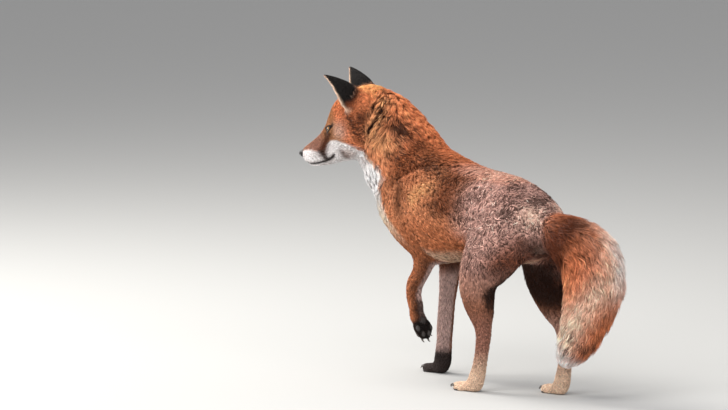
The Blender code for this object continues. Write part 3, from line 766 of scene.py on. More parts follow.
def head_marks(head):
    mirrored = to_left(head)
    x, side, z = mirrored.T
    drift, fine = noise(head, 1.3, 5), noise(head, 0.5, 6)
    crown = ease(1.8, 3.6, z) * ease(2.5, -0.5, x)
    brow = spot_at(mirrored, (4.4, 1.5, 2.2), 0.6)
    ruff = ease(1.5, 0.3, x + 0.4 * drift) * ease(2.6, 0.4, z)
    strand = noise(np.stack([x * 0.4 + z * 0.35, z * 0.3, side * 1.4 - x], axis=1), 0.5, 7)
    edge = np.interp(
        x, (-0.5, 1.0, 1.7, 2.5, 3.7, 5.0, 6.2, 7.4, 8.3, 9.3, 10.2, 11.2),
        (-5.2, -4.2, -2.9, -2.1, -1.05, -0.65, -0.9, -1.55, -1.0, -0.35, 0.0, 0.1),
    )
    tear = beside(mirrored, ((4.9, 1.9, 0.4), (6.1, 2.0, -0.4), (7.35, 1.7, -1.5)), 0.7)
    patch = beside(mirrored, ((7.35, 1.75, -1.6), (7.3, 1.7, -2.7)), 0.5)
    above, mouth = mouth_gap(head)
    tint = painted(len(head), RUST * 1.05, (
        # The orange crown, brightened by a painted highlight on the top of the head.
        (CROWN, crown * ease(3.4, 2.0, side)),
        (FOREHEAD, ease(1.6, 3.4, x)),
        (DEEP_RUST, 0.6 * spot_at(mirrored, (-0.6, 4.0, 1.6), 1.4)),
        (BRIDGE, 0.9 * ease(5.2, 7.5, x)),
        (TAN, 0.6 * ease(8.0, 10.0, x) * ease(0.9, 1.4, side)),
        (TAN, 0.85 * spot_at(mirrored, (2.3, 3.7, 0.0), 1.4)),
        (GOLD, 0.4 * brow),
        # A rusty ruff with dark strands ends the cheek.
        (DEEP_RUST * (1 - 0.3 * ease(-1.5, -3.0, x))[:, None], 0.6 * ruff),
        (DARK, 0.6 * ruff * ease(0.05, 0.5, strand)),
        (ORANGE, 0.6 * ruff * ease(-0.05, -0.5, strand)),
        # Painted shade in the folds of the neck's coat.
        (DARK * 0.6, ease(0.22, 0.6, crease_share(head))),
        # White runs from the sides of the muzzle over the lower cheek, lips, chin and throat.
        (WHITE, ease(0.2, -0.1, z - edge + 0.14 * drift)),
        (BROWN * 0.8, 0.85 * spot_at(mirrored, (3.8, 2.6, -3.0), 0.6)),
        (BROWN * 0.8, 0.85 * spot_at(mirrored, (3.9, 2.0, -3.8), 0.7)),
        (TAN * 0.8, 0.5 * spot_at(mirrored, (2.8, 2.6, -3.6), 1.0)),
        # The dark tear mark from the inner corner of the eye down to the whisker pad.
        (DEEP_RUST * 0.35, np.clip(1.2 * tear, 0, 0.95)),
        (DARK * 1.2, np.clip(1.2 * patch, 0, 0.95)),
        (GOLD * 0.8, 0.4 * bump(side, 0.0, 0.5) * ease(5.5, 7.0, x) * ease(-0.3, 0.3, z)),
        (DARK * 0.6, ease(1.32, 1.1, lid_share(head, 1))),
        (DARK * 0.6, ease(1.32, 1.1, lid_share(head, -1))),
        (BLACK, 0.95 * bump(above, -0.04, 0.2) * mouth),
        (DARK, 0.6 * bump(above, -0.1, 0.3) * mouth * ease(9.0, 7.0, x)),
        (BLACK, spot_at(head, NOSE_PLACE, 0.75)),
    ))
    return tint * (1 + 0.1 * fine[:, None])


def tail_marks(body):
    share, _, nearest = along_line(body, TAIL_LINE)
    outward = unit_rows(body - nearest)
    outer = outward @ TAIL_OUTER
    drift, fleck = noise(body, 4.0, 8), noise(body, 1.1, 15)
    strand, broad = streaks(body, TAIL_LINE, 14.0, 1.0, 9), streaks(body, TAIL_LINE, 16.0, 2.6, 16)
    place = share + 0.03 * drift
    sweep = bump(outer, 1.0 - 1.8 * ease(0.25, 0.85, place), 0.65) * ease(0.14, 0.3, place)
    return painted(len(body), TAIL_RUST, (
        (DEEP_RUST, 0.3 * ease(0.1, 0.6, strand) * ease(0.8, 0.6, place)),
        (TAIL_DARK, 0.94 * ease(0.32, 0.18, place) * ease(0.9, 0.2, outer)),
        (TAIL_DARK, 0.92 * ease(-0.6, -0.9, outer) * ease(0.37, 0.27, place)),
        (TAIL_RUST, 0.7 * ease(0.06, 0.02, place)),
        (TAIL_DARK, 0.75 * spot_at(body, (-0.2, 2.6, 26.2), 1.9)),
        # Painted light: paler orange on the inner side of the tail, where shade falls between tail
        # and leg.
        (ORANGE * 1.3, 0.6 * ease(-0.5, -0.9, outer) * bump(place, 0.47, 0.12)),
        (TAIL_PALE, np.clip(sweep * (0.75 + 0.5 * broad), 0, 0.9)),
        (WHITE, 0.6 * ease(0.45, 0.85, outer) * bump(place, 0.38, 0.14)),
        (RUST * 0.75, 0.8 * ease(0.2, 0.7, outer) * bump(place, 0.68, 0.14)),
        # Paler low on the inner side of the tail: the tail's pale hair, brightened further as
        # painted light against the shade there.
        (TAIL_PALE * 1.35, 0.6 * bump(place, 0.78, 0.12) * ease(0.2, -0.5, outer)),
        (BROWN, 0.6 * bump(place, 0.78, 0.1) * ease(0.1, 0.45, fleck)),
        (TIP_WHITE, 0.95 * ease(0.86, 0.93, place)),
    ))


def faces_rear_inner(normals, name):
    side = 1 if "left" in name else -1
    return ease(0.05, 0.6, -0.8 * normals[:, 0] - 0.6 * side * normals[:, 1])


def leg_marks(body, normals, name):
    share, _, _ = along_line(body, LEG_LINES[name])
    drift = noise(body, 2.0, 10)
    height = leg_height(body, name)
    ahead, inward = normals[:, 0], normals[:, 1] * (-1 if "left" in name else 1)
    rear_inner = faces_rear_inner(normals, name)
    if name.startswith("hind"):
        inner = ease(0.2, 0.7, inward)
        return painted(len(body), SHANK, (
            (LOWER_THIGH, 0.9 * bump(height, 15.0, 3.2)),
            (PINK_RUST * 0.95, 0.65 * bump(height, 18.0, 2.6) * (1 - rear_inner)),
            (PINK_GREY * 0.95, 0.85 * ease(17.5, 21.0, height + 0.6 * drift)),
            (PINK_RUST * 1.1, 0.7 * ease(0.2, 0.8, ahead) * ease(12, 16, height)),
            (DEEP_RUST * 0.75, 0.95 * ease(0.1, 0.6, -ahead) * bump(height, 21.8, 3.0)),
            # Painted shade in the hollow above the hock, on its rear inner side, and on the inner
            # thigh high up between the legs.
            (DARK * 0.5, 0.95 * rear_inner * bump(height, 16.2, 2.8)),
            (DARK * 1.2, 0.95 * inner * ease(13.5, 16, height)),
            (TAN * 0.8, 0.5 * inner * ease(14, 11, height)),
            (CREAM * 1.08, 0.85 * ease(8.0, 2.5, height)),
        ))
    inner = ease(-0.5, 0.1, inward)
    stocking_and_shadow = {
        "fore_right": ((BLACK * 1.4, 0.95 * ease(5.0, 3.4, height + 0.4 * drift)),),
        "fore_left": (
            # Painted shadow on the back of the bent wrist.
            (DARK, 0.8 * ease(0.68, 0.76, share) * ease(0.0, 0.6, rear_inner)),
            (BLACK, 0.97 * ease(0.83, 0.89, share + 0.02 * drift)),
        ),
    }
    return painted(len(body), FLANK * 1.1, (
        # Painted shade on the rear side of the forelegs and on their inner side high up.
        (DARK, 0.6 * ease(0.0, 0.6, -ahead)),
        (LEG_GREY, 0.95 * inner * ease(18.5, 16.0, height)),
        (BROWN * 0.8, 0.85 * inner * ease(16.0, 18.5, height)),
        *stocking_and_shadow[name],
    ))


def ear_share(head, normals, name):
    """How far up an ear each place is, and how much it faces the way the ear opens."""
    root, rise, opening, _ = ear_frame(name)
    height = (head - root) @ rise / (rise @ rise)
    return height, normals @ HEAD_AXES @ opening


def ear_marks(head, normals, name):
    height, facing = ear_share(head, normals, name)
    rim = ease(-0.15, 0.25, facing) * ease(0.8, 0.4, facing) * ease(1.0, 0.9, height)
    return painted(len(head), BLACK, (
        (DEEP_RUST, ease(0.24, 0.05, height + 0.08 * noise(head, 0.8, 18))),
        (TAN, ease(0.1, 0.5, facing)),
        (CREAM, 0.9 * rim),
    ))


def markings(points, normals, shares):
    """The coat's colour at each point, the same for the skin and for the tufts on it."""
    surface = points + normals * coat_depth(points, shares)[:, None]
    body, head = body_cm(surface), head_units(surface)
    marks = {
        "head": head_marks(head),
        "neck": neck_marks(body, head, normals),
        "trunk": trunk_marks(body, normals),
        "tail": tail_marks(body),
    }
    for name in EARS:
        marks[name] = ear_marks(head, normals, name)
    high = ease(21, 26, body[:, 2])
    for name in LEG_LINES:
        marks[name] = mix(leg_marks(body, normals, name), marks["trunk"], high)
    band = nape_share(body, head)
    for name in ("neck", "trunk"):
        marks[name] = mix(marks[name], DEEP_RUST * 0.6, np.clip(0.85 * band, 0, 1))
    return blended_rows(shares, marks)


def ticking_and_painted_light(body, head, normals, shares):
    """The share of the tufts that are dark at each point: the coat's ticking, with more in the
    neck's folds and above the hocks as painted shade, and fewer on the top of the back as painted
    rim light.
    """
    x, z = body[:, 0], body[:, 2]
    facing_up = normals[:, 2]
    drift, blotch = noise(body, 5.0, 1), noise(body, 2.2, 2)
    middle = ease(31.0, 24.0, x + 1.5 * drift) * ease(25.0, 28.5, z + 1.5 * drift)
    rump = ease(19.5, 15.5, x + 1.5 * drift)
    patchy = ease(-0.3, 0.5, blotch)
    band = 0.55 * np.clip(nape_share(body, head), 0, 1)
    trunk = 0.07 + (0.22 + 0.25 * patchy) * middle * (1 - rump) + band
    trunk = trunk + rump * (0.2 + 0.45 * ease(0.0, 0.6, blotch) * ease(24, 29, z))
    mirrored = to_left(body)
    trunk = trunk + 0.22 * spot_at(mirrored, RUMP_SHADE, 2.4)
    trunk = trunk + 0.3 * spot_at(mirrored, (9.6, 5.8, 29.2), 1.3)
    light = np.maximum(spot_at(mirrored, RUMP_LIGHT, 1.9), spot_at(mirrored, ROOT_LIGHT, 2.0))
    trunk = trunk * (1 - 0.9 * light)
    # Fewer dark tufts on the top of the back, as part of its painted rim light.
    trunk = trunk * (1 - 0.6 * ease(0.8, 0.97, facing_up) * ease(9, 14, x))
    trunk = trunk * ease(21.5, 24.0, z)
    tail, _, _ = along_line(body, TAIL_LINE)
    share = {
        "trunk": trunk,
        # More dark tufts beside the second fold of the neck: painted shade.
        "neck": 0.06 + band + 0.2 * beside(head, CREASES[1][0], 1.8)
        + 0.3 * ease(0.0, 0.5, blotch) * ease(-5.5, -7.0, head[:, 0]),
        "head": 0.05 + 0.4 * ease(1.5, 0.0, head[:, 0]) * ease(2.6, 0.4, head[:, 2]),
        "tail": 0.06 + 0.3 * bump(tail, 0.78, 0.08) - 0.06 * ease(0.84, 0.9, tail),
    }
    for name in LEG_LINES:
        height = leg_height(body, name)
        # More dark tufts in the hollow above the hind hocks: painted shade.
        rear = faces_rear_inner(normals, name) * bump(height, 16.2, 3.2)
        thigh = ease(17.5, 21.0, height)
        share[name] = 0.12 + (0.28 * thigh + 0.7 * rear) * name.startswith("hind")
    return blended(shares, share)


# ---- the coat


def coat_plan(points, normals, shares):
    """What the tufts are like at each point. Lengths and widths are in millimetres."""
    body, head = body_cm(points), head_units(points)
    moult = ease(22, 17, body[:, 0]) * ease(19, 23, body[:, 2])
    back, rear, cheek = rear_of_head(head)
    near_eye = np.maximum(*(ease(2.2, 1.0, eye_view(head, sign)[3]) for sign in (1, -1)))
    face = 1 - 0.45 * near_eye
    # Each row holds the length, width, number per square centimetre, raggedness, flecking
    # and size of the locks.
    plan = {
        "head": (
            (4.0 + 4.5 * back + 6.0 * cheek + 7.0 * rear) * face,
            (0.65 + 0.3 * back) * face,
            130 - 70 * np.maximum(back, rear),
            0.14 + 0.12 * back,
            0.15 + 0.1 * back,
            1.8 + 3.0 * back,
        ),
        "neck": (20 + 4 * ease(40, 35, body[:, 0]), 1.15, 46, 0.2, 0.22, 8.0),
        "trunk": (15 - 2 * moult, 1.1 + 0.45 * moult, 54 - 12 * moult, 0.2 + 0.55 * moult,
                  0.2 + 0.1 * moult, 4.5 - 1.0 * moult),
        "tail": (34 - 10 * ease(2.0, 4.0, body[:, 0]), 1.3, 36, 0.2, 0.2, 8.0),
    }
    for name in EARS:
        height, facing = ear_share(head, normals, name)
        inside = ease(0.1, 0.5, facing) * ease(0.95, 0.3, height)
        plan[name] = (3.2 + 6 * inside, 0.7, 110, 0.14, 0.15, 1.8)
    for name in LEG_LINES:
        height = leg_height(body, name)
        shank, thigh = ease(3, 7, height), ease(12, 21, height)
        woolly = thigh * moult
        plan[name] = (
            3.6 + 3.4 * shank + 7.5 * thigh,
            0.7 + 0.15 * shank + 0.35 * thigh + 0.35 * woolly,
            105 - 30 * shank - 30 * thigh,
            0.14 + 0.08 * thigh + 0.45 * woolly,
            0.12 + 0.15 * woolly,
            2.0 + 1.0 * shank + 1.5 * thigh,
        )
    keys = ("length", "width", "density", "ragged", "fleck", "lock")
    merged = {
        key: blended(shares, {name: row[k] for name, row in plan.items()})
        for k, key in enumerate(keys)
    }
    depth = coat_depth(points, shares)
    merged["depth"] = depth / MM
    surface = points + normals * depth[:, None]
    body, head = body_cm(surface), head_units(surface)
    folds = np.maximum(crease_share(head), 0.7 * beside(body, SHOULDER_FOLD, 0.5))
    merged["lift"] = 1 - 0.85 * folds
    merged["density"] = merged["density"] * (1 - 0.85 * folds)
    merged["length"] = merged["length"] * (1 - 0.35 * beside(head, CREASES[1][0], 1.5))
    merged["dark"] = ticking_and_painted_light(body, head, normals, shares)
    merged["bunch"] = 0.5 + 0.15 * shares[:, GROUP_NAMES.index("neck")]
    return merged


def areas_of(triangles, points):
    corners = points[triangles]
    cross = np.cross(corners[:, 1] - corners[:, 0], corners[:, 2] - corners[:, 0])
    return 0.5 * np.linalg.norm(cross, axis=1)


def spots_on(triangles, points, weight, count, random):
    """Random places on the triangles: which triangle, and the corners' shares in the place."""
    chance = areas_of(triangles, points) * weight
    picked = np.searchsorted(np.cumsum(chance) / chance.sum(), random.random(count))
    picked = np.minimum(picked, len(triangles) - 1)
    a, b = random.random(count), random.random(count)
    root = np.sqrt(a)
    return picked, np.stack([1 - root, root * (1 - b), root * b], axis=1)


def unwrapped(points, group):
    """Where each point lies when the group's skin is opened out round its own centre line."""
    body, head = body_cm(points), head_units(points)
    if group in EARS:
        root, rise, opening, across = ear_frame(group)
        along = (head - root) @ rise / (rise @ rise)
        arm = head - root - along[:, None] * rise
        turn = np.arctan2(arm @ across, arm @ opening)
    elif group == "head":
        along = (head[:, 0] + 6.5) / 18.5
        turn = np.arctan2(head[:, 1], head[:, 2] + 1.0)
    else:
        lines = {"trunk": TRUNK_LINE, "neck": NECK_LINE, "tail": TAIL_LINE, **LEG_LINES}
        along, way, nearest = along_line(body, lines[group])
        arm = body - nearest
        first = unit_rows(np.cross(way, np.array((0.0, 1.0, 0.0))))
        second = np.cross(way, first)
        turn = np.arctan2(np.sum(arm * second, axis=1), np.sum(arm * first, axis=1))
    return np.stack([turn / math.tau + 0.5, np.clip(along, 0, 1)], axis=1)


def spread_out(uv):
    """Places fitted into the unit square, with room for a patch at its edges."""
    low, high = uv.min(axis=0), uv.max(axis=0)
    return 0.01 + 0.98 * (uv - low) / np.maximum(high - low, 1e-6)


DARK_TUFT = DARK * 0.9

# Where a tuft's rings stand between its root and its tip, for each number of rings.
STATIONS = {1: (0.0, 0.42, 1.0), 2: (0.0, 0.3, 0.66, 1.0)}


def tuft_mesh(name, centres, sides, ups, widths, tints, places):
    """Thin three-sided tufts as one mesh. Each row of centres is one tuft, from root to tip."""
    count, levels = centres.shape[:2]
    rings = levels - 2
    middle, across = centres[:, 1:-1], widths[:, 1:-1, None]
    aside = sides[:, 1:-1] * across
    ridge = middle + ups[:, 1:-1] * across * 0.6
    bands = np.stack([middle - aside, middle + aside, ridge], axis=2).reshape(count, rings * 3, 3)
    points = np.concatenate([centres[:, :1], bands, centres[:, -1:]], axis=1)
    per = rings * 3 + 2
    around = np.repeat(tints[:, 1:-1], 3, axis=1)
    tint = np.concatenate([tints[:, :1], around, tints[:, -1:]], axis=1)

    stations = STATIONS[rings]
    corners, patch = [], []
    for i in range(3):
        j = (i + 1) % 3
        near, far, half = i / 3, (i + 1) / 3, (i + 0.5) / 3
        corners += [0, 1 + i, 1 + j]
        patch += [(half, 0.0), (near, stations[1]), (far, stations[1])]
        for ring in range(rings - 1):
            a, b = 1 + ring * 3, 4 + ring * 3
            low, high = stations[ring + 1], stations[ring + 2]
            corners += [a + i, b + i, b + j, a + i, b + j, a + j]
            patch += [(near, low), (near, high), (far, high), (near, low), (far, high), (far, low)]
        last = rings * 3 - 2
        corners += [last + i, per - 1, last + j]
        patch += [(near, stations[-2]), (half, 1.0), (far, stations[-2])]

    loops = (np.array(corners)[None] + np.arange(count)[:, None] * per).ravel()
    mesh = bpy.data.meshes.new(name)
    mesh.vertices.add(count * per)
    mesh.loops.add(len(loops))
    mesh.polygons.add(len(loops) // 3)
    mesh.vertices.foreach_set("co", points.astype(np.float32).ravel())
    mesh.loops.foreach_set("vertex_index", loops.astype(np.int32))
    mesh.polygons.foreach_set("loop_start", np.arange(0, len(loops), 3, dtype=np.int32))
    mesh.polygons.foreach_set("use_smooth", np.ones(len(loops) // 3, bool))
    mesh.update(calc_edges=True)
    uv = places[:, None] + (np.array(patch)[None] - 0.5) * PATCH
    mesh.uv_layers.new(name="OFBake").data.foreach_set("uv", uv.astype(np.float32).ravel())
    set_tint(mesh, tint.reshape(-1, 3))
    return mesh


def follow(skin, points):
    """The nearest places on the skin, and the skin's point next to each."""
    spots, nearest = np.empty_like(points), np.empty(len(points), int)
    for i, point in enumerate(points):
        spots[i], _, face, _ = skin["tree"].find_nearest(point)
        nearest[i] = skin["face_point"][face]
    return spots, nearest


def turned(vectors, axes, angles):
    """Each vector turned about its axis, to which it is square."""
    return vectors * np.cos(angles)[:, None] + np.cross(axes, vectors) * np.sin(angles)[:, None]


def lock_seeds(root, size, area, random):
    """Which tuft leads the lock that each tuft grows in."""
    count = len(root)
    seeds = random.choice(count, min(max(8, int(area / size**2)), count), replace=False)
    tree = KDTree(len(seeds))
    for i, seed in enumerate(seeds):
        tree.insert(root[seed], i)
    tree.balance()
    return seeds, np.array([tree.find(place)[1] for place in root])


def tufts_for(skin, group, count, random, rings):
    """Centres, directions, widths and tints of a group's tufts, and their roots."""
    faces = skin["triangles"][group]
    picked, weights = spots_on(faces, skin["points"], skin["wanted"][group], count, random)
    corners = faces[picked]

    def at(values):
        return np.sum(values[corners] * weights[..., None], axis=1)

    root, up, tint = at(skin["points"]), unit_rows(at(skin["normals"])), at(skin["tint"])
    way = in_the_skin(at(skin["way"]), up)
    plan = {key: at(values[:, None])[:, 0] for key, values in skin["plan"].items()}

    # Tufts gather into locks: each leans to the tip of the lock that it grows in.
    size = plan["lock"].mean() * MM
    seeds, owner = lock_seeds(root, size, skin["area"][group], random)
    lock_turn = random.normal(0, 0.9, len(seeds)) * plan["ragged"][seeds]
    lock_light = random.normal(0, 0.1, len(seeds))
    lock_dark = random.random(len(seeds))
    lock_lift = random.uniform(0.72, 1.05, len(seeds))
    ragged = plan["ragged"]
    wave = noise(body_cm(root), 3.5, 21) * 0.3 * ragged
    angle = lock_turn[owner] + random.normal(0, 0.5, count) * ragged + wave
    bend = random.choice((-1.0, 1.0), count) * 0.9 * ragged
    length = plan["length"] * MM * random.uniform(0.75, 1.15, count)
    tip_height = plan["depth"] * MM * plan["lift"] * lock_lift[owner]
    tip_height = tip_height * random.uniform(0.8, 1.1, count)
    tip_height = np.minimum(tip_height, 0.6 * length)

    stations = STATIONS[rings]
    shape = (count, rings + 2, 3)
    centres, sides, ups, tints = (np.empty(shape) for _ in range(4))
    centres[:, 0], ups[:, 0], tints[:, 0] = root - up * 0.4 * MM, up, tint
    heading = turned(way, up, angle + bend)
    sides[:, 0] = np.cross(heading, up)
    spot = root
    for level in range(1, rings + 2):
        step = (stations[level] - stations[level - 1]) * length
        spot, nearest = follow(skin, spot + heading * step[:, None])
        up = skin["normals"][nearest]
        heading = turned(in_the_skin(skin["way"][nearest], up), up, angle - bend * (-1) ** level)
        height = tip_height * math.sin(stations[level] * math.pi / 2) ** 0.8
        centres[:, level] = spot + up * height[:, None]
        ups[:, level], sides[:, level] = up, unit_rows(np.cross(heading, up))
        tints[:, level] = 0.7 * skin["tint"][nearest] + 0.3 * tint
    seed_of = seeds[owner]
    for level in range(1, rings + 2):
        gap = centres[seed_of, level] - centres[:, level]
        apart = np.linalg.norm(gap, axis=1)
        pull = plan["bunch"] * stations[level] ** 1.3 * ease(3.0 * size, 1.0 * size, apart)
        centres[:, level] += gap * pull[:, None]

    width = plan["width"] * MM * 0.5 * random.uniform(0.75, 1.25, count)
    widths = width[:, None] * np.interp(stations, (0, 0.42, 0.66, 1), (0.5, 1.0, 0.75, 0.0))
    shade = np.exp(plan["fleck"] * random.normal(0, 1.0, count) + lock_light[owner])
    # Each tuft darkens towards its root as painted shade deep in the coat, less for short hair, and
    # is paler towards its tip.
    ramp = np.interp(stations, (0, 0.42, 1), (0.5, 0.95, 1.25))
    soft = ease(16.0, 5.0, plan["length"])[:, None]
    tints = tints * (shade[:, None] * (ramp + (1 - ramp) * 0.6 * soft))[..., None]
    dark = 0.5 * (lock_dark[owner] + random.random(count)) < plan["dark"]
    tints[dark] = DARK_TUFT + (tints[dark] - DARK_TUFT) * 0.2
    return centres, sides, ups, widths, tints, root


# ---- materials

# Plain surfaces with cells or pebbles: the darkest and the lightest colour, the roughness, the
# number of grains in a metre, the strength and the depth of the bumps, and the specular level.
GRAINED = {
    "lid_rim": ((0.006, 0.005, 0.004), (0.015, 0.011, 0.009), 0.5, 900, 0.3, 0.2 * MM, 0.25),
    "nose_leather": (
        (0.005, 0.0045, 0.0045), (0.022, 0.018, 0.017), 0.38, 1300, 0.9, 0.5 * MM, 0.5,
    ),
    "whisker": ((0.01, 0.009, 0.008), (0.05, 0.045, 0.04), 0.4, 500, 0.1, 0.1 * MM, 0.5),
    "claw_horn": ((0.02, 0.016, 0.013), (0.09, 0.07, 0.055), 0.3, 420, 0.3, 0.2 * MM, 0.5),
    "pad_leather": ((0.012, 0.010, 0.009), (0.05, 0.04, 0.036), 0.7, 1500, 1.0, 0.5 * MM, 0.5),
}


def fill(node, inputs):
    """Gives a node's inputs their values, or joins them to the outputs of other nodes."""
    for key, value in inputs.items():
        if isinstance(value, bpy.types.NodeSocket):
            node.id_data.links.new(value, node.inputs[key])
        else:
            node.inputs[key].default_value = value


def add(tree, kind, inputs, output=0, **settings):
    """The output of a new shader node."""
    node = tree.nodes.new("ShaderNode" + kind)
    for key, value in settings.items():
        setattr(node, key, value)
    fill(node, inputs)
    return node.outputs[output]


def add_ramp(tree, value, first, *middle, last):
    """A colour that follows a value, by stops that each have a place and a colour."""
    ramp = add(tree, "ValToRGB", {"Fac": value})
    elements = ramp.node.color_ramp.elements
    for element, (position, shade) in zip(elements, (first, last)):
        element.position, element.color = position, (*shade, 1)
    for position, shade in middle:
        elements.new(position).color = (*shade, 1)
    return ramp


def add_grain(tree, where, scale):
    return add(tree, "TexNoise", {"Vector": where, "Scale": scale, "Detail": 4.0})


def add_bump(tree, grain, strength, distance):
    return add(tree, "Bump", {"Height": grain, "Strength": strength, "Distance": distance})


def principled(name, roughness, specular=0.5):
    made = bpy.data.materials.new(name)
    made.use_nodes = True
    shader = made.node_tree.nodes["Principled BSDF"]
    fill(shader, {"Roughness": roughness, "Specular IOR Level": specular})
    return made, made.node_tree, shader


def tinted_material(name, darkest, lightest, scale, strands=None):
    """Hair or skin: the markings, with a fine grain over them, drawn out along the hair."""
    made, tree, shader = principled(name, 0.7, 0.1)
    if strands:
        patch = add(tree, "UVMap", {}, uv_map="OFBake")
        where = add(tree, "VectorMath", {0: patch, 1: strands}, operation="MULTIPLY")
    else:
        where = add(tree, "TexCoord", {}, "Object")
    grain = add_grain(tree, where, scale)
    reach = {"From Min": 0.3, "From Max": 0.7, "To Min": darkest, "To Max": lightest}
    level = add(tree, "MapRange", {"Value": grain, **reach})
    tint = add(tree, "Attribute", {}, "Color", attribute_name="tint")
    tint = add(tree, "VectorMath", {0: tint, "Scale": level}, operation="SCALE")
    fill(shader, {"Base Color": tint, "Normal": add_bump(tree, grain, 0.5, 0.3 * MM)})
    fill(shader, {"Sheen Weight": 0.05, "Sheen Roughness": 0.4})
    return made


def eye_material():
    """Amber iris with an upright slit and a dark rim, under a clear wet surface."""
    made, tree, shader = principled("eye_amber", 0.16, 0.3)
    place = add(tree, "Attribute", {}, "Vector", attribute_name="place")
    apart = add(tree, "SeparateXYZ", {"Vector": place}).node.outputs

    def oval(wide, high):
        """1 on an oval round the eye's middle, less within it and more beyond it."""
        squares = []
        for axis, size in (("X", wide), ("Y", high)):
            part = add(tree, "Math", {0: apart[axis], 1: size}, operation="DIVIDE")
            squares.append(add(tree, "Math", {0: part, 1: 2.0}, operation="POWER"))
        return add(tree, "Math", {0: squares[0], 1: squares[1]}, operation="ADD")

    ring = add_ramp(
        tree, oval(0.62, 0.62), (0.0, (0.20, 0.08, 0.015)), (0.45, (0.34, 0.15, 0.03)),
        (0.72, (0.12, 0.045, 0.01)), last=(1.0, (0.006, 0.004, 0.003)),
    )
    slit = add(tree, "MapRange", {"Value": oval(0.17, 0.36), "From Min": 0.8, "From Max": 1.3})
    fibres = add(tree, "TexNoise", {"Vector": place, "Scale": 9.0})
    lift = add(tree, "MapRange", {"Value": fibres, "To Min": 0.6, "To Max": 1.4})
    iris = add(tree, "VectorMath", {0: ring, "Scale": lift}, operation="SCALE")
    parts = {"Factor": slit, "A": (0.004, 0.003, 0.003, 1), "B": iris}
    seen = add(tree, "Mix", parts, "Result", data_type="RGBA")
    fill(shader, {"Base Color": seen, "Coat Weight": 0.5, "Coat Roughness": 0.02})
    return made


def grained_material(name):
    """Nose leather, lips, pads, claws and whiskers."""
    dark, light, roughness, scale, strength, distance, specular = GRAINED[name]
    made, tree, shader = principled(name, roughness, specular)
    grain = add_grain(tree, add(tree, "TexCoord", {}, "Object"), scale)
    shade = add_ramp(tree, grain, (0.35, dark), last=(0.7, light))
    fill(shader, {"Base Color": shade, "Normal": add_bump(tree, grain, strength, distance)})
    return made


# ---- pieces of the face and feet


def piece(mesh, name, material, slot, *nodes):
    """A finished piece of the fox, with its material, riding on the still body."""
    obj = linked(mesh, name)
    mesh.materials.clear()
    mesh.materials.append(material)
    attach(obj, "root")
    if nodes:
        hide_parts(*nodes)
    return obj


def ball_mesh(segments, rings):
    shape = bmesh.new()
    bmesh.ops.create_uvsphere(shape, u_segments=segments, v_segments=rings, radius=1.0)
    return mesh_of(shape, "ball")


def eye_mesh(side):
    """An eyeball with a raised cornea. Its place attribute runs along and across the lids."""
    mesh = ball_mesh(48, 32)
    local = read_points(mesh)
    along, up, out = eye_axes(side)
    raised = 1 + 0.05 * ease(0.75, 1.0, local[:, 2])
    arm = local[:, [0]] * along + local[:, [1]] * up + local[:, [2]] * out
    head = eye_centre(side) - 0.04 * out + 0.97 * EYE_RADIUS * arm * raised[:, None]
    layer = mesh.attributes.new("place", "FLOAT_VECTOR", "POINT")
    layer.data.foreach_set("vector", local.astype(np.float32).ravel())
    write_points(mesh, head_points(head))
    if np.linalg.det(np.stack([along, up, out])) < 0:
        mesh.flip_normals()
    return mesh


def tube_mesh(path, radii, name, sides=8, closed=False):
    """A tube of round rings along a path of points, capped unless it closes on itself."""
    path = [Vector(p) for p in path]
    count = len(path)
    points, faces = [], []
    up = Vector((0.13, 0.21, 0.97))
    for i, centre in enumerate(path):
        ahead = path[(i + 1) % count] if closed else path[min(i + 1, count - 1)]
        before = path[i - 1] if closed else path[max(i - 1, 0)]
        along = (ahead - before).normalized()
        up = (up - along * up.dot(along)).normalized()
        other = along.cross(up)
        for k in range(sides):
            turn = math.tau * k / sides
            points.append(centre + (up * math.cos(turn) + other * math.sin(turn)) * radii[i])
    for i in range(count if closed else count - 1):
        low, high = i * sides, ((i + 1) % count) * sides
        for k in range(sides):
            m = (k + 1) % sides
            faces.append((low + k, low + m, high + m, high + k))
    if not closed:
        faces.append(tuple(range(sides))[::-1])
        faces.append(tuple((count - 1) * sides + k for k in range(sides)))
    mesh = bpy.data.meshes.new(name)
    mesh.from_pydata(points, [], faces)
    mesh.update()
    mesh.shade_smooth()
    return mesh


def joined(meshes, name):
    shape = bmesh.new()
    for mesh in meshes:
        shape.from_mesh(mesh)
    return mesh_of(shape, name)


def lid_mesh(side):
    """The dark rim of both lids, lying on the eyeball."""
    along, up, out = eye_axes(side)
    path, radii = [], []
    for turn in np.arange(48) / 48 * math.tau:
        across = LID_HALF_LENGTH * 1.02 * math.cos(turn)
        upper = math.sin(turn) >= 0
        rise = float(lid_edge(across, upper)) * (1 if upper else -1)
        bow = math.sqrt(max(1 - across**2 - rise**2, 0.05))
        arm = (along * across + up * rise + out * bow) * (EYE_RADIUS + 0.06)
        path.append(from_head(eye_centre(side) + arm))
        radii.append((0.08 if upper else 0.055) * HEAD_UNIT)
    return tube_mesh(path, radii, "lid", sides=8, closed=True)


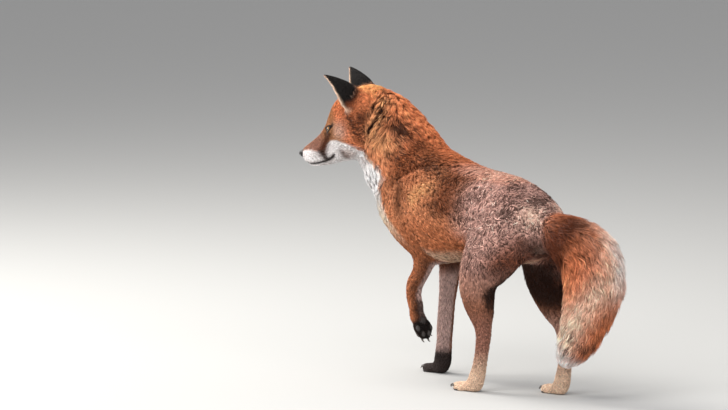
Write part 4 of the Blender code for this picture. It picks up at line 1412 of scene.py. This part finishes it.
def nose_mesh():
    """The nose leather: a rounded pad with comma-shaped nostrils and a groove between them."""
    mesh = ball_mesh(72, 48)
    local = read_points(mesh)
    boxy = np.sum(np.abs(local) ** 2.8, axis=1) ** (1 / 2.8)
    local = local / boxy[:, None]
    x, y, z = local.T
    side = np.abs(y)
    front = ease(0.1, 0.6, x)
    pit = np.exp(-(((side - 0.42) / 0.2) ** 2) - ((z - 0.05) / 0.26) ** 2)
    slit = np.exp(-(((z + 0.14) / 0.12) ** 2)) * ease(0.42, 0.6, side)
    groove = bump(y, 0, 0.1) * ease(0.5, -0.2, z)
    wings = bump(side, 0.75, 0.22) * bump(z, 0.12, 0.35)
    depth = 0.48 * pit * front + 0.26 * slit * ease(-0.3, 0.3, x) + 0.16 * groove * front
    shape = local * (1 - depth + 0.08 * wings)[:, None]
    low = ease(0.2, -1.0, z)
    shape[:, 0] -= 0.22 * low
    shape[:, 1] *= 1 - 0.34 * low
    write_points(mesh, head_points(NOSE_PLACE + shape * NOSE_RADII))
    return mesh


def skin_between(tree, outside, inside):
    """Where a line between two places in the head's units meets the skin, if it does."""
    start = from_head(outside)
    return tree.ray_cast(start, (from_head(inside) - start).normalized())[0]


def lips_mesh(tree):
    """The black edge of the lips, from one corner of the mouth round the front to the other."""
    knots = np.linspace(0, 1, len(MOUTH))
    spots = []
    for side in (1, -1):
        run = []
        for t in np.linspace(0, 1, 16):
            x, z = (np.interp(t, knots, values) for values in zip(*MOUTH))
            wide = 4.0 if t > 0.12 else 1.2
            hit = skin_between(tree, (x, wide * side, z), (x - 0.4, 0.0, z))
            run.append(hit if hit is not None else from_head((x, 0.3 * side, z)))
        spots.append(run)
    path = spots[0][::-1] + spots[1]
    smooth = [path[0]]
    for before, here, after in zip(path, path[1:], path[2:]):
        smooth.append((before + here * 2 + after) / 4)
    smooth.append(path[-1])
    ends = np.linspace(-1, 1, len(smooth))
    radii = (0.03 + 0.045 * np.sqrt(np.clip(1 - ends**2, 0, 1))) * HEAD_UNIT
    return tube_mesh(smooth, radii, "lips", sides=8)


def whisker_mesh(tree, random):
    """Long tapering whiskers in rows on each pad."""
    meshes = []
    for side in (1, -1):
        for row in range(3):
            for column in range(4):
                x = 9.6 - 0.55 * column - 0.1 * row
                z = -1.0 - 0.35 * row - 0.03 * column
                hit = skin_between(tree, (x, 3.0 * side, z), (x, 0.0, z))
                if hit is None:
                    continue
                way = Vector((-0.55 - 0.12 * column, side * 0.85, -0.12 - 0.16 * row))
                way = (Matrix(HEAD_AXES) @ way).normalized()
                droop = Vector((0, 0, -1)) * random.uniform(0.10, 0.2)
                length = (3.0 + 0.9 * column) * CM * random.uniform(0.85, 1.1)
                path = [
                    hit - way * MM + way * length * t + droop * length * t * t
                    for t in np.linspace(0, 1, 9)
                ]
                radii = np.linspace(0.15, 0.04, 9) * MM
                meshes.append(tube_mesh(path, radii, "whisker", sides=5))
    return joined(meshes, "whiskers")


def foot_matrix(heel, heading, pitch):
    turn = Matrix.Rotation(math.radians(heading), 4, "Z")
    nod = Matrix.Rotation(math.radians(pitch), 4, "Y")
    return Matrix.Translation(from_body(heel)) @ turn @ nod @ Matrix.Scale(CM, 4)


TOES = ((0.0, 0.55), (0.0, -0.55), (-0.95, 1.2), (-0.95, -1.2))


def claw_meshes(heel, heading, pitch, length):
    """Four curved claws that start in the fur of the toes."""
    matrix = foot_matrix(heel, heading, pitch)
    meshes = []
    for back, side in TOES:
        path, radii = [], []
        for t in np.linspace(-0.35, 1, 9):
            bend = t * 1.15
            place = Vector((length + back - 0.05 + 0.75 * math.sin(bend), side * 1.04,
                            1.05 - 0.62 * (1 - math.cos(bend)) * 1.15))
            path.append(matrix @ place)
            radii.append((0.15 * min(1 - t, 1.0) ** 0.7 + 0.015) * CM)
        meshes.append(tube_mesh(path, radii, "claw", sides=8))
    return meshes


def pad_meshes(heel, heading, pitch, length):
    """The bare pads under a foot: one behind and one under each toe."""
    matrix = foot_matrix(heel, heading, pitch)
    meshes = []
    sole = 0.3
    places = [((length - 0.75 + back, side, sole + 0.1), (0.55, 0.36, 0.28)) for back, side in TOES]
    places.append(((1.35, 0.0, sole + 0.12), (0.75, 0.75, 0.32)))
    for centre, radii in places:
        mesh = ball_mesh(20, 12)
        local = read_points(mesh) * np.array(radii) + np.array(centre)
        world = np.array(matrix)[:3, :3] @ local.T
        points = world.T + np.array(matrix.translation)
        points[:, 2] = np.maximum(points[:, 2], 0.0)
        write_points(mesh, points)
        meshes.append(mesh)
    return meshes


# ---- building the fox


def build_skin():
    """The skin piece, and all that the coat needs to know about it."""
    mesh = skin_mesh()
    points, normals = read_points(mesh), read_normals(mesh)
    edges, triangles = read_edges(mesh), read_triangles(mesh)
    shares, nearest = group_shares(points, edges, LOOKS_PASSES)
    tint = markings(points, normals, shares)
    set_tint(mesh, tint * SKIN_SHADE)
    mesh.shade_smooth()
    material = tinted_material("skin", 0.55, 1.1, 900.0)
    flesh = [name for nodes in GROUPS.values() for name in nodes]
    piece(mesh, "skin", material, "coat_red", *flesh)
    plan = coat_plan(points, normals, shares)
    owners = nearest[triangles[:, 0]]
    areas = areas_of(triangles, points)
    wanted = plan["density"][triangles].mean(axis=1)
    head = head_units(points[triangles[:, 0]])
    bare = np.minimum(lid_share(head, 1), lid_share(head, -1)) < BARE_EYE
    bare |= np.linalg.norm((head - NOSE_PLACE) / NOSE_RADII, axis=1) < BARE_NOSE
    above, mouth = mouth_gap(head)
    on_head = owners == GROUP_NAMES.index("head")
    bare |= (np.abs(above) < BARE_LIPS) & (mouth > 0.2) & on_head
    bare |= points[triangles[:, 0], 2] < BARE_SOLE
    wanted = np.where(bare, 0.0, wanted)
    tree = BVHTree.FromPolygons([Vector(p) for p in points], triangles.tolist())

    def of_groups(values):
        """The triangles' values, parted by group."""
        return {name: values[owners == i] for i, name in enumerate(GROUPS)}

    return {
        "points": points,
        "normals": normals,
        "way": lie_of_coat(points, normals, shares, edges),
        "tint": tint,
        "plan": plan,
        "triangles": of_groups(triangles),
        "wanted": of_groups(wanted),
        "area": {name: part.sum() for name, part in of_groups(areas).items()},
        "number": {name: part.sum() / CM**2 for name, part in of_groups(areas * wanted).items()},
        "tree": tree,
        "face_point": triangles[:, 0],
    }


RINGS = {"tail": 2, "neck": 2}


def grow_coat(skin, material):
    """Every group's tufts, in pieces that stay under the limit on triangles."""
    random = np.random.default_rng(RANDOM_SEED)
    cost = {name: 6 * RINGS.get(name, 1) for name in GROUPS}
    asked = sum(skin["number"][name] * cost[name] for name in GROUPS)
    share = min(1.0, FULL_TRIANGLES / asked)
    print("coat asks", round(asked), "triangles, share", round(share, 3))
    for name in GROUPS:
        count = int(skin["number"][name] * share)
        *tufts, root = tufts_for(skin, name, count, random, RINGS.get(name, 1))
        places = unwrapped(root, name)
        pieces = math.ceil(count * cost[name] / PIECE_TRIANGLES)
        order = np.array_split(np.argsort(places[:, 1], kind="stable"), pieces)
        for number, chosen in enumerate(order):
            title = f"coat_{name}" + (f"_{number + 1}" if pieces > 1 else "")
            mesh = tuft_mesh(title, *(part[chosen] for part in tufts), spread_out(places[chosen]))
            piece(mesh, title, material, SLOTS.get(name, "coat_red"))


def build_face(skin):
    random = np.random.default_rng(RANDOM_SEED + 1)
    eye = eye_material()
    rim, leather = grained_material("lid_rim"), grained_material("nose_leather")
    for side, name in ((1, "left"), (-1, "right")):
        piece(eye_mesh(side), f"eyeball_{name}", eye, "eye_amber", f"eye_{name}")
        piece(lid_mesh(side), f"lids_{name}", rim, "coat_dark")
    piece(nose_mesh(), "nose_pad", leather, "nose_leather", "nose")
    piece(lips_mesh(skin["tree"]), "lips", rim, "nose_leather")
    whisker = grained_material("whisker")
    piece(whisker_mesh(skin["tree"], random), "whiskers", whisker, "coat_dark")


def build_feet():
    horn, pad = grained_material("claw_horn"), grained_material("pad_leather")
    for name, foot in FEET.items():
        piece(joined(claw_meshes(*foot), "claws"), f"claws_{name}", horn, "nose_leather")
        piece(joined(pad_meshes(*foot), "pads"), f"pads_{name}", pad, "nose_leather")


# ---- floor, light and camera

VIEW_HEADING = -36.0
VIEW_DROP = 8.0
VIEW_DISTANCE = 12.0
FRAME_WIDTH = 1.174
STANDS_BEFORE = (35.0, -3.5, 0.0)
AIM = (45.94, 5.10, 26.99)
LIT_HEIGHT = 0.25
FLOOR_HALF = 14.0


def stand(obj, place, target):
    """Puts a camera or a light at a place, looking at a target."""
    obj.location = place
    obj.rotation_mode = "QUATERNION"
    obj.rotation_quaternion = (target - Vector(place)).to_track_quat("-Z", "Y")


def add_camera():
    camera = bpy.data.cameras.new("camera")
    camera.sensor_width = 36.0
    camera.lens = 36.0 * VIEW_DISTANCE / FRAME_WIDTH
    obj = linked(camera, "camera")
    turn, drop = math.radians(VIEW_HEADING), math.radians(VIEW_DROP)
    level = math.cos(drop)
    way = Vector((math.cos(turn) * level, math.sin(turn) * level, -math.sin(drop)))
    stand(obj, from_body(STANDS_BEFORE) - way * VIEW_DISTANCE, from_body(AIM))
    camera.clip_end = 60.0
    bpy.context.scene.camera = obj


def add_area(name, place, size, power, tone):
    light = bpy.data.lights.new(name, "AREA")
    light.size = size
    light.energy = power
    light.color = tone
    stand(linked(light, name), place, Vector((0, 0, LIT_HEIGHT)))


def add_stage():
    shape = bmesh.new()
    bmesh.ops.create_grid(shape, x_segments=1, y_segments=1, size=FLOOR_HALF)
    floor = linked(mesh_of(shape, "floor"), "floor")
    made, _, shader = principled("floor", 0.9)
    fill(shader, {"Base Color": (0.46, 0.46, 0.45, 1)})
    floor.data.materials.append(made)
    world = bpy.data.worlds.new("studio")
    world.use_nodes = True
    sky = world.node_tree.nodes["Background"].inputs
    sky["Color"].default_value = (0.93, 0.93, 0.95, 1)
    sky["Strength"].default_value = 0.6
    bpy.context.scene.world = world
    add_area("key", (1.7, 0.63, 2.5), 1.6, 95.0, (1.0, 0.97, 0.92))
    add_area("side", (-0.9, 2.4, 2.4), 2.0, 75.0, (1.0, 0.98, 0.96))
    add_area("front", (2.2, 1.5, 0.6), 1.2, 38.0, (1.0, 0.99, 0.98))
    add_area("fill", (-2.6, 0.6, 1.4), 2.4, 42.0, (0.96, 0.98, 1.0))
    bpy.context.scene.view_settings.view_transform = "Standard"


skin = build_skin()
hair = tinted_material("hair", 0.7, 1.25, 1.0, (2400.0, 220.0, 1.0))
grow_coat(skin, hair)
build_face(skin)
build_feet()
add_camera()
add_stage()
